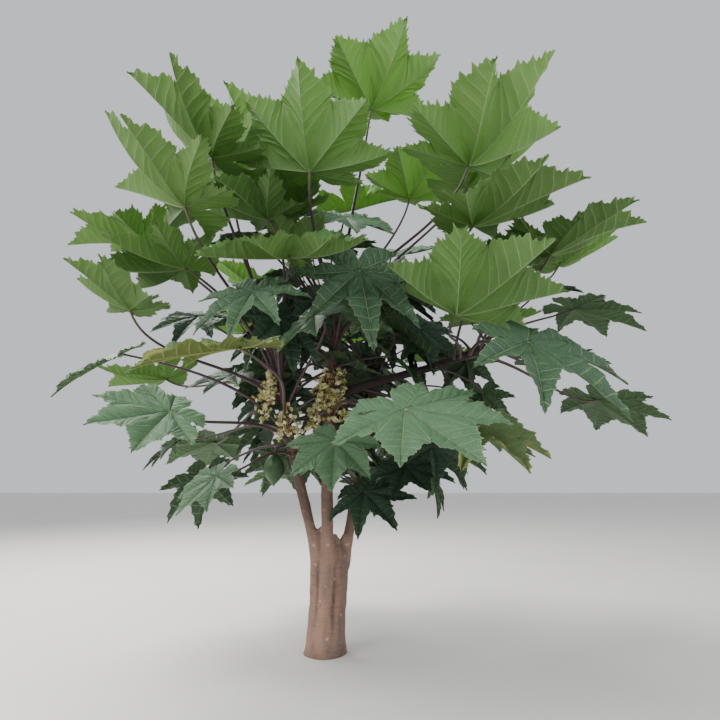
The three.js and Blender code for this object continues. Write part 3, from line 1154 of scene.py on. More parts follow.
@dataclass(frozen=True)
class HalfLobe:
    """The blade between one main vein and the bay or notch beside it.

    Attributes:
        turn: Direction of the main vein.
        reach: Reach of the lobe's tip.
        edge: Direction of the bay or notch.
        bay: Reach of the bay or notch.
        shoulder: A point halfway along the flank.
        depth: Share of the pleat's lift at the bay or notch.
        lobe: The lobe's number.
    """

    turn: float
    reach: float
    edge: float
    bay: float
    shoulder: Array
    depth: float
    lobe: int


@dataclass(frozen=True)
class BladePlan:
    """The outline of all blades and the mesh that follows its veins, in shares of the blade's size.

    Attributes:
        lobes: Direction and reach of each lobe from the middle one round to the basal one.
        notch: Reach of the notch behind the hub.
        shoulder_at: Direction of the flank's middle as a share of the way to the bay.
        shoulder_drop: Fall of the flank's middle as a share of the bay's depth.
        basal_shoulder: Turn past the basal vein and reach of the basal flank's middle.
        inner_veins: Side veins that end between two lobes.
        outer_veins: Side veins that end in the margin.
        teeth: How far the margin stands out at each row from one side vein to the next, in teeth.
        tooth_range: Smallest and largest factor on a tooth.
        tooth_slant: How far the teeth lean towards the tip.
        tip_flank: Turn towards the bay and reach, in shares of the lobe's, where a flank nears its tip.
        columns: Shares of the way from the main vein to the margin, after the rib's own column.
        arch: How far the side veins bow towards the tip.
        rib: Half width of a main vein at the hub.
        rib_slimming: Share of its width that a main vein loses to its tip.
        rib_height: How far a main vein stands out at the hub.
        vein_height: How far a side vein stands out at the main vein.
        thickness: Thickness of the blade.
        quilt: Lift of the tissue between the side veins.
        hinge: How gently what lies behind the hub turns up.
        unlike: How far a lobe's direction in degrees and its reach stray from the plan.
    """

    lobes: tuple[tuple[float, float], ...] = ((0.0, 1.0), (41.0, 0.93), (83.0, 0.8), (121.0, 0.5))
    notch: float = 0.14
    shoulder_at: float = 0.5
    shoulder_drop: float = 0.74
    basal_shoulder: tuple[float, float] = (25.0, 0.39)
    inner_veins: int = 2
    outer_veins: int = 6
    teeth: tuple[float, ...] = (1.0, 0.2, 0.55, 0.2, 0.7)
    tooth_range: tuple[float, float] = (0.6, 1.3)
    tooth_slant: float = 0.6
    tip_flank: tuple[float, float] = (0.1, 0.86)
    columns: tuple[float, ...] = (0.36, 0.74, 1.0)
    arch: float = 0.02
    rib: float = 0.013
    rib_slimming: float = 0.75
    rib_height: float = 0.01
    vein_height: float = 0.003
    thickness: float = 0.004
    quilt: float = 0.011
    hinge: float = 0.06
    unlike: tuple[float, float] = (2.0, 0.03)

    @property
    def rows(self) -> int:
        """Rows of the mesh from one side vein to the next."""
        return len(self.teeth)

    def halves(self, bay: float, random: Random) -> list[HalfLobe]:
        """Lists the half lobes of a blade.

        Args:
            bay: Reach of a bay as a share of the shorter lobe.
            random: Makes each lobe a little different.

        Returns:
            The half lobes, from one side of the notch round to the other.
        """
        mirrored = [(-turn, reach) for turn, reach in self.lobes[:0:-1]]
        turn_stray, reach_stray = self.unlike
        lobes = [
            (turn + random.normal(0, turn_stray), reach * (1 - abs(random.normal(0, reach_stray))))
            for turn, reach in (*mirrored, *self.lobes)
        ]
        halves = []
        for k, (turn, reach) in enumerate(lobes):
            for other in (k - 1, k + 1):
                if 0 <= other < len(lobes):
                    edge = (turn + lobes[other][0]) / 2
                    depth = 1.0
                    hollow = bay * min(reach, lobes[other][1])
                    fall = reach * (1 - self.shoulder_drop * (1 - bay))
                    shoulder = polar(turn + (edge - turn) * self.shoulder_at, fall)
                else:
                    way = math.copysign(1, turn)
                    edge, depth, hollow = way * 180.0, 0.7, self.notch
                    shoulder = polar(turn + way * self.basal_shoulder[0], self.basal_shoulder[1])
                halves.append(HalfLobe(turn, reach, edge, hollow, shoulder, depth, k))
        return halves

    def ladder(self, half: HalfLobe, tooth: float, random: Random) -> dict[str, Array]:
        """Lays the mesh of one half lobe, row by row from the hub to the tip.

        Args:
            half: The half lobe.
            tooth: Size of a tooth.
            random: Makes each tooth a little different.

        Returns:
            Named arrays with a row for each row and a column for each column of the mesh.
        """
        # The inner rows end between two lobes, and the outer ones in the margin.
        inner = self.inner_veins * self.rows
        outer = self.outer_veins * self.rows
        number = np.arange(inner + outer + 1)
        tip, bay = polar(half.turn, half.reach), polar(half.edge, half.bay)
        along = half.bay * math.cos(math.radians(half.edge - half.turn)) / half.reach
        start = max(0.6 * along, 0.12)
        before = np.clip(number / inner, 0, 1)
        after = np.clip((number - inner) / outer, 0, 1)
        middle = tip * (start * before + (1 - start) * after)[:, None]
        turned, reached = self.tip_flank
        near_tip = polar(half.turn + turned * (half.edge - half.turn), reached * half.reach)
        # The flank's curve goes through the shoulder halfway along.
        belly = (8 * half.shoulder - bay - tip - 3 * near_tip) / 3
        flank = Bezier(np.array([bay, belly, near_tip, tip])).at(after)
        margin = np.where((number > inner)[:, None], flank, bay * before[:, None])
        spread = margin - middle
        width = np.linalg.norm(spread, axis=1)
        pattern = np.array(self.teeth)[number % self.rows]
        envelope = np.clip(after * 7, 0, 1) * np.clip((1 - after) * 6, 0, 1)
        bite = tooth * pattern * envelope * random.uniform(*self.tooth_range, len(number))
        least = 1e-6
        forward = unit(tip) * self.tooth_slant + spread / np.maximum(width, least)[:, None]
        rib = self.rib * (1 - self.rib_slimming * np.linalg.norm(middle, axis=1) / half.reach)
        first = np.clip(rib / np.maximum(width, least), 0, 0.25)
        others = [np.full(len(number), column) for column in self.columns]
        shares = np.column_stack([np.zeros(len(number)), first, *others])
        points = middle[:, None] + spread[:, None] * shares[..., None]
        bow = np.sin(math.pi * shares) * np.clip(width[:, None] * 4, 0, 1)
        points += unit(tip) * self.arch * bow[..., None]
        points[:, -1] = margin + forward * bite[:, None]
        row = np.broadcast_to(number[:, None], shares.shape)
        turns = np.degrees(np.arctan2(points[..., 1], points[..., 0]))
        lean = np.clip(apart(turns, half.turn) / (half.edge - half.turn), 0, 1)
        column = np.broadcast_to(np.arange(shares.shape[1]), shares.shape)
        return {
            "x": points[..., 0],
            "y": points[..., 1],
            "lean": lean,
            "depth": np.full(shares.shape, half.depth),
            "lobe": np.full(shares.shape, half.lobe),
            "share": np.hypot(points[..., 0], points[..., 1]) / half.reach,
            "v": shares,
            "phase": (row % self.rows) / self.rows,
            "rib": (column == 0).astype(float),
            "vein": np.where(row % self.rows == 0, np.where(row < inner, 0.72, 1.0), 0.0),
            "rim": ((column == shares.shape[1] - 1) & (row >= inner)).astype(float),
            "wave": row + 7.0 * half.lobe,
        }

    def laid(self, bay: float, tooth: float, random: Random) -> tuple[dict[str, Array], Array]:
        """Lays the flat mesh of a whole blade.

        Args:
            bay: Reach of a bay as a share of the shorter lobe.
            tooth: Size of a tooth.
            random: Makes each tooth a little different.

        Returns:
            Named numbers of each vertex, and the corners of the triangles, which face up.
        """
        grids = [self.ladder(half, tooth, random) for half in self.halves(bay, random)]
        rows, columns = grids[0]["x"].shape
        flat = {name: np.concatenate([grid[name].ravel() for grid in grids]) for name in grids[0]}
        key = np.round(np.column_stack([flat["x"], flat["y"]]) * 1e5).astype(np.int64)
        _, first, number = np.unique(key, axis=0, return_index=True, return_inverse=True)
        number = number.ravel()
        vertex = {name: values[first] for name, values in flat.items()}
        for name in ("rib", "rim"):
            vertex[name] = np.zeros(len(first))
            np.maximum.at(vertex[name], number, flat[name])
        ids = number.reshape(len(grids), rows, columns)
        a, b = ids[:, :-1, :-1], ids[:, 1:, :-1]
        c, d = ids[:, 1:, 1:], ids[:, :-1, 1:]
        corners = triangles(a, b, c, d)
        x, y = vertex["x"][corners], vertex["y"][corners]
        area = (x[:, 1] - x[:, 0]) * (y[:, 2] - y[:, 0]) - (x[:, 2] - x[:, 0]) * (y[:, 1] - y[:, 0])
        distinct = (corners != np.roll(corners, 1, axis=1)).all(axis=1)
        corners = np.where((area < 0)[:, None], corners[:, ::-1], corners)
        return vertex, corners[distinct]

    def blade(self, leaf: Leaf, hub: Array, axes: Array, random: Random) -> Surface:
        """Builds one blade, thin and closed, with its veins standing out below.

        Args:
            leaf: The leaf.
            hub: Where the veins meet.
            axes: Directions of the middle vein, to its left and out of the upper side, one in each row.
            random: Makes each blade a little different.

        Returns:
            The blade, with slot 0 above and slot 1 below.
        """
        bent = CARRIAGES[leaf.habit]
        at, corners = self.laid(bent.bay * random.uniform(0.95, 1.05), bent.tooth, random)
        x, y, v, share = at["x"], at["y"], at["v"], at["share"]
        reach = np.hypot(x, y)
        lift = at["depth"] * np.sin(at["lean"] * math.pi / 2)
        curls = random.normal(0, bent.curl, 2 * len(self.lobes))[at["lobe"].astype(int)]
        bend = curls * np.clip(share - 0.3, 0, None) ** 2 * np.cos(at["lean"] * math.pi / 2) ** 2
        waves = bent.ruffle * v**3 * np.sin(at["wave"] * 0.55 + random.uniform(0, 6)) * (share > 0.3)
        quilt = self.quilt * np.sin(math.pi * at["phase"]) * np.sin(math.pi * np.clip(v, 0, 1)) ** 0.7
        height = bent.pleat * reach * lift + bent.cup * reach**2 - bent.droop * reach**3
        height = height + bend + waves + quilt
        height += bent.fold * (np.hypot(x, self.hinge) - x - self.hinge) / 2
        sag = random.normal(0, 0.04, 2)
        height += sag[0] * x * y + sag[1] * y**2
        inner = 1 - at["rim"]
        body = self.thickness / 2 * inner
        rib = self.rib_height * at["rib"] * (1 - 0.8 * np.clip(share, 0, 1))
        ridge = (rib + self.vein_height * at["vein"] * (1 - v) * (1 - at["rib"])) * inner
        upper = np.column_stack([x, y, height + body - 0.25 * ridge])
        lower = np.column_stack([x, y, height - body - ridge])
        places = hub + leaf.size * np.concatenate([upper, lower]) @ axes
        below = np.arange(len(reach)) + np.where(at["rim"] > 0, 0, len(reach))
        marks = {
            "rib": np.tile(at["rib"], 2),
            "vein": np.tile(at["vein"], 2),
            "reach": np.tile(reach, 2),
            "tint": np.full(2 * len(reach), random.uniform(0.25, 0.75)),
            "edge": np.tile(np.clip(v, 0, 1), 2),
        }
        used = np.concatenate([corners, below[corners[:, ::-1]]])
        kept, number = np.unique(used, return_inverse=True)
        marks = {name: values[kept] for name, values in marks.items()}
        return Surface(places[kept], number.reshape(-1, 3), np.repeat([0, 1], len(corners)), marks)


@dataclass(frozen=True)
class Leaf:
    """One leaf on its stalk.

    Attributes:
        share: Share of its stem where the stalk leaves.
        azimuth: Direction of the stalk.
        rise: Rise of the stalk.
        stalk: Length of the stalk.
        turn: Direction of the blade's middle vein.
        pitch: Pitch of the middle vein.
        roll: Roll about the middle vein.
        size: Size of the blade from hub to tip.
        habit: How the leaf carries itself.
    """

    share: float
    azimuth: float
    rise: float
    stalk: float
    turn: float
    pitch: float
    roll: float
    size: float
    habit: Habit

    @property
    def slot(self) -> str:
        """The name of the blade's material slot."""
        return f"leaf_{self.habit.value}"


# Leaves that are placed one by one, from the top of each stem down.
LEAVES = {
    "centre": (
        Leaf(0.995, -71, 59, 1.44, -68, 28, 0, 0.59, Habit.YOUNG),
        Leaf(0.983, -52, 27.5, 1.47, -42, 28, 0, 0.715, Habit.YOUNG),
        Leaf(0.955, -12, 60, 1.11, -55, 30, 0, 0.51, Habit.YOUNG),
        Leaf(0.93, -95.5, 33, 1.295, -98, 40, -8, 0.595, Habit.YOUNG),
        Leaf(0.903, -26, 44, 1.405, -12, 22, -8, 0.61, Habit.YOUNG),
        Leaf(0.895, -128, 59, 1.24, -125, 36, 0, 0.64, Habit.YOUNG),
        Leaf(0.875, -52, 20, 1.43, -24, 13, 8, 0.68, Habit.GROWN),
        Leaf(0.838, -100.5, 18.5, 1.15, -103, -21, -4, 0.6, Habit.GROWN),
        Leaf(0.818, -78.5, 20, 1.045, -77, -64, 6, 0.55, Habit.DEEP),
        Leaf(0.6, -70.5, -3.5, 1.33, -50, -27, 20, 0.6, Habit.OLD),
        Leaf(0.54, -84, -8, 0.76, -100, -50, 0, 0.37, Habit.OLD),
        Leaf(0.38, -88, 14, 0.57, -140, -45, 0, 0.26, Habit.OLD),
    ),
    "left": (
        Leaf(0.99, -106, 48, 1.43, -152, 38, -8, 0.64, Habit.GROWN),
        Leaf(0.93, -110, 36, 1.397, -158, 32.5, 2.5, 0.628, Habit.GROWN),
        Leaf(0.93, -168, 46, 1.34, 178, -2, 0, 0.56, Habit.GROWN),
        Leaf(0.88, -124, 38, 1.12, -175, -8, 8, 0.56, Habit.GROWN),
        Leaf(0.847, -91.5, 24, 1.213, -103.5, -46, -0.5, 0.413, Habit.DEEP),
        Leaf(0.83, -137, 25, 1.23, -140, 30, 0, 0.46, Habit.GROWN),
        Leaf(0.8, -70, 38, 0.91, -135, -42, 0, 0.42, Habit.OLD),
        Leaf(0.77, -95, 15, 1.22, 178, -6, -12, 0.6, Habit.FADING),
        Leaf(0.74, -162, 24, 1.22, -170, -30, -15, 0.5, Habit.OLD),
        Leaf(0.7, -127, 8, 1, -139, -12, -33, 0.48, Habit.OLD),
        Leaf(0.642, -125.5, -11.5, 0.695, -145.5, -43, -10.5, 0.326, Habit.OLD),
    ),
    "rear": (),
    "right": (
        Leaf(0.94, -56, 38, 0.8, -5, 22, 0, 0.64, Habit.GROWN),
        Leaf(0.99, -20, 20, 0.59, 0, -15, 0, 0.5, Habit.OLD),
        Leaf(0.885, -79, -6.5, 0.865, -40, -36, 18, 0.68, Habit.DEEP),
        Leaf(0.84, -101, 8, 0.77, -52, 20, -12, 0.7, Habit.YOUNG),
        Leaf(0.7, -78, -34, 0.74, -60, -36, 0, 0.54, Habit.FADING),
    ),
}


@dataclass(frozen=True)
class Fill:
    """Leaves round one stem, laid by rule.

    Attributes:
        count: Number of leaves.
        start: Azimuth where their arc begins.
        arc: Degrees that the arc spans.
        top: Share of the stem where the first leaves.
        high: Rise of the first stalk.
        low: Rise of the last stalk.
        stalk: Length of a stalk.
        spacing: Share of the stem from one leaf to the next.
        size: Size of the first blade.
        nod: How far a blade hangs below what it keeps of its stalk's rise.
        young: Share of the way down where the leaves stop being young.
        grown: Share of the way down where they stop being grown.
        kept_rise: Share of its stalk's rise that a blade keeps.
        first: Share of the arc where the first leaf stands.
        swing: How far the blades turn to one side and the other of their stalks.
        longer: How much longer every second stalk is.
        shrink: How much smaller the last blade is than the first.
    """

    count: int
    start: float
    arc: float
    top: float
    high: float
    low: float
    stalk: float
    spacing: float = 0.045
    size: float = 0.58
    nod: float = 14.0
    young: float = 0.3
    grown: float = 0.6
    kept_rise: float = 0.8
    first: float = 0.3
    swing: float = 14.0
    longer: float = 0.09
    shrink: float = 0.04

    def leaves(self) -> list[Leaf]:
        """Lays the leaves round the arc by the golden ratio.

        Returns:
            The leaves, from the top down.
        """
        leaves = []
        for k in range(self.count):
            age = k / (self.count - 1)
            odd = k % 2
            azimuth = self.start + self.arc * ((self.first + k * GOLDEN_SHARE) % 1)
            rise = self.high + (self.low - self.high) * age
            share = self.top - self.spacing * k
            stalk = self.stalk + self.longer * odd
            turn = azimuth + (self.swing if odd else -self.swing)
            pitch = rise * self.kept_rise - self.nod
            size = self.size - self.shrink * age
            habit = Habit.YOUNG if age < self.young else Habit.GROWN if age < self.grown else Habit.OLD
            leaves.append(Leaf(share, azimuth, rise, stalk, turn, pitch, 0, size, habit))
        return leaves


# Large leaves round the rest of the crown.
FILLS = {
    "centre": Fill(4, 30, 150, 0.98, 68, 52, 1.15),
    "left": Fill(3, 100, 55, 0.945, 30, -12, 1.05),
    "rear": Fill(8, 25, 160, 0.99, 48, -14, 1.1),
    "right": Fill(4, -2, 80, 0.97, 45, -15, 0.95),
}

# Small leaves in the shade of the crown.
SHADED_FILLS = {
    "centre": (
        Fill(16, -180, 360, 0.97, 50, 4, 0.62, 0.014, 0.48, 58, 0.0),
        Fill(8, -10, 200, 0.76, 0, -26, 0.62, 0.02, 0.44, 30, 0.0),
    ),
    "left": (
        Fill(14, -200, 320, 0.97, 48, 4, 0.56, 0.016, 0.46, 58, 0.0),
        Fill(7, -10, 200, 0.78, 0, -26, 0.56, 0.024, 0.42, 30, 0.0),
    ),
    "rear": (
        Fill(13, -180, 360, 0.97, 46, 0, 0.6, 0.017, 0.46, 56, 0.0),
        Fill(7, -10, 200, 0.76, 0, -26, 0.56, 0.024, 0.42, 30, 0.0),
    ),
    "right": (
        Fill(9, -150, 300, 0.95, 40, -20, 0.46, 0.045, 0.42, 44, 0.0),
    ),
}

# Leaves that close the crown behind the large ones.
BACKING = {
    "centre": [
        Leaf(0.95, -80, 56, 0.81, -75, -35, 0, 0.45, Habit.OLD),
        Leaf(0.93, -115, 50, 0.9, -150, 5, 0, 0.5, Habit.GROWN),
    ],
    "left": [
        Leaf(0.97, -122, 68, 1.34, -112, 46, 0, 0.55, Habit.YOUNG),
        Leaf(0.95, -88, 49, 1.12, -165, 14, 0, 0.52, Habit.GROWN),
        Leaf(0.9, -75, 60, 0.95, -60, 10, 0, 0.45, Habit.GROWN),
    ],
    "rear": [],
    "right": [Leaf(0.8, -70, 45, 0.7, -40, 5, 0, 0.5, Habit.GROWN)],
}


@dataclass(frozen=True)
class Crown:
    """All the leaves, their stalks and the young shoots at the stem tips.

    Attributes:
        plan: The plan of the large blades.
        small_plan: The plan of the small and inner blades.
        foot: Radius of a stalk where it leaves its stem.
        tip: Radius where it meets the blade.
        collars: How much thicker a stalk is at its foot and where it meets the blade.
        rings: Rings along a stalk.
        sides: Sides of a stalk.
        leave: How much more steeply a stalk leaves than its rise.
        steepest: The steepest that a stalk leaves.
        meet: Angle at which it meets the blade's underside.
        reins: How long it keeps those two directions, in shares of its length.
        shoots: Young leaves at each stem tip.
        shoot_share: Share of the stem where they leave.
        shoot_stray: How far their azimuth strays.
        stray: How far the azimuth, pitch, turn and roll of a leaf in the shade stray.
        stalk_range: Smallest and largest factor on its stalk.
        size_range: Smallest and largest factor on its blade.
        blossom_front: Where the space before the blossom begins along Y.
        blossom_top: Its height. No leaf in the shade has its hub in there.
    """

    plan: BladePlan = BladePlan()
    small_plan: BladePlan = BladePlan(outer_veins=5, teeth=(1.0, 0.2, 0.55), columns=(0.5, 1.0))
    foot: float = 0.013
    tip: float = 0.0065
    collars: tuple[float, float] = (0.7, 0.35)
    rings: int = 30
    sides: int = 10
    leave: float = 30.0
    steepest: float = 76.0
    meet: float = 40.0
    reins: tuple[float, float] = (0.35, 0.3)
    shoots: int = 5
    shoot_share: float = 0.985
    shoot_stray: float = 15.0
    stray: tuple[float, float, float, float] = (18.0, 14.0, 25.0, 12.0)
    stalk_range: tuple[float, float] = (0.7, 1.35)
    size_range: tuple[float, float] = (0.8, 1.15)
    blossom_front: float = -0.2
    blossom_top: float = 2.1

    def stalk(self, leaf: Leaf, stem: Stem, hub: Array, axes: Array) -> Surface:
        """Builds the stalk from the stem to the underside of the blade.

        Args:
            leaf: The leaf.
            stem: The stem that it grows from.
            hub: Where the veins meet.
            axes: Directions of the middle vein, to its left and out of the upper side, one in each row.

        Returns:
            The stalk.
        """
        root = stem.curve.point(leaf.share)
        seat = hub - axes[2] * leaf.size * self.plan.thickness
        meet = math.radians(self.meet)
        arrive = axes[0] * math.cos(meet) + axes[2] * math.sin(meet)
        base = root + heading(leaf.azimuth, 0) * stem.tip / 2
        leave = heading(leaf.azimuth, min(leaf.rise + self.leave, self.steepest))
        out, back = self.reins
        points = [base, base + leave * leaf.stalk * out, seat - arrive * leaf.stalk * back, seat]
        shares = np.linspace(0, 1, self.rings) ** 1.15
        slim = min(1.0, 0.4 + leaf.stalk * 0.6)
        radii = (self.foot + (self.tip - self.foot) * shares) * slim
        low, high = self.collars
        radii *= 1 + low * np.exp(-shares / 0.03) + high * np.exp(-(1 - shares) / 0.02)
        return tube(Bezier(np.array(points)), shares, radii, self.sides, crossways(leaf.azimuth))

    def placed(self, leaf: Leaf, stem: Stem) -> tuple[Array, Array]:
        """Places a blade.

        Args:
            leaf: The leaf.
            stem: The stem that it grows from.

        Returns:
            Its hub, and its three axes, one in each row.
        """
        hub = stem.curve.point(leaf.share) + heading(leaf.azimuth, leaf.rise) * leaf.stalk
        midrib = heading(leaf.turn, leaf.pitch)
        upright = heading(leaf.turn, leaf.pitch + 90)
        leftward = np.cross(upright, midrib)
        roll = math.radians(leaf.roll)
        left = leftward * math.cos(roll) + upright * math.sin(roll)
        up = upright * math.cos(roll) - leftward * math.sin(roll)
        return hub, np.stack([midrib, left, up])

    def grown(self, plan: BladePlan, leaf: Leaf, stem: Stem, random: Random) -> tuple[Surface, Surface]:
        """Builds the blade and the stalk of one leaf."""
        hub, axes = self.placed(leaf, stem)
        return plan.blade(leaf, hub, axes, random), self.stalk(leaf, stem, hub, axes)

    def shoot(self, stem: Stem, random: Random) -> Iterator[tuple[Surface, Surface]]:
        """Builds the small young leaves round a stem tip.

        Args:
            stem: The stem.
            random: Makes each leaf a little different.

        Yields:
            The blade and the stalk of each leaf.
        """
        for k in range(self.shoots):
            azimuth = k * GOLDEN_ANGLE + random.uniform(-self.shoot_stray, self.shoot_stray)
            rise = 80 - 7 * k
            leaf = Leaf(
                self.shoot_share, azimuth, rise, stalk=0.12 + 0.075 * k, turn=azimuth, pitch=rise - 15,
                roll=0, size=0.1 + 0.035 * k, habit=Habit.YOUNG,
            )
            yield self.grown(self.small_plan, leaf, stem, random)

    def shaded(self, name: str, stem: Stem, random: Random) -> Iterator[tuple[Surface, Surface]]:
        """Builds the older leaves in the shade of the crown.

        Args:
            name: The stem's name.
            stem: The stem.
            random: Makes each leaf a little different.

        Yields:
            The blade and the stalk of each leaf.
        """
        for leaf in (leaf for fill in SHADED_FILLS[name] for leaf in fill.leaves()):
            azimuth, pitch, turn, roll, _ = random.normal(0, 1, 5) * (*self.stray, 0)
            stalk = leaf.stalk * random.uniform(*self.stalk_range)
            size = leaf.size * random.uniform(*self.size_range)
            leaf = replace(
                leaf, azimuth=leaf.azimuth + azimuth, stalk=stalk, turn=leaf.turn + turn,
                pitch=leaf.pitch + pitch, roll=roll, size=size, habit=Habit.SHADED,
            )
            hub, _ = self.placed(leaf, stem)
            before_blossom = hub[1] < self.blossom_front and hub[2] < self.blossom_top
            if not before_blossom:
                yield self.grown(self.small_plan, leaf, stem, random)

    def build(self) -> None:
        """Makes the pieces: one for every blade, and one for the stalks of every stem."""
        skins = {}
        for habit in Habit:
            skins[habit] = [
                UPPERSIDES[habit].material(f"leaf_{habit.value}_upper", raised=False),
                UNDERSIDES[habit].material(f"leaf_{habit.value}_under", raised=True),
            ]
        stalk_skin = LEAF_STALK.material()
        for order, (name, stem) in enumerate(STEMS.items()):
            stalks = []
            for k, leaf in enumerate([*LEAVES[name], *FILLS[name].leaves()], 1):
                random = np.random.default_rng([SEED, order, k])
                blade, stalk = self.grown(self.plan, leaf, stem, random)
                node = f"leaf_{name}_{k:02d}"
                piece = blade.piece(f"blade_{name}_{k:02d}", skins[leaf.habit], leaf.slot)
                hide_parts(node)
                stalks.append(stalk)
            blades, thin_stalks = zip(*self.shoot(stem, np.random.default_rng([SEED, order])))
            Surface.joined(blades).piece(f"shoots_{name}", skins[Habit.YOUNG], "leaf_young")
            for k, leaf in enumerate(BACKING[name], 1):
                random = np.random.default_rng([SEED, order, 100 + k])
                blade, stalk = self.grown(self.plan, leaf, stem, random)
                blade.piece(f"backing_{name}_{k:02d}", skins[leaf.habit], leaf.slot)
                stalks.append(stalk)
            random = np.random.default_rng([SEED, order, 0])
            blades, shaded_stalks = zip(*self.shaded(name, stem, random))
            Surface.joined(blades).piece(f"shaded_{name}", skins[Habit.SHADED], "leaf_deep")
            all_stalks = Surface.joined([*stalks, *thin_stalks, *shaded_stalks])
            all_stalks.piece(f"stalks_{name}", [stalk_skin], "leaf_old")


@dataclass(frozen=True)
class Spray:
    """One hanging spray of blossom.

    Attributes:
        stem: Name of the stem that it hangs from.
        share: Share of the stem where it leaves.
        azimuth: Direction of its arch.
        reach: How far it stands off the stem.
        drop: How far it hangs down.
    """

    stem: str
    share: float
    azimuth: float
    reach: float
    drop: float


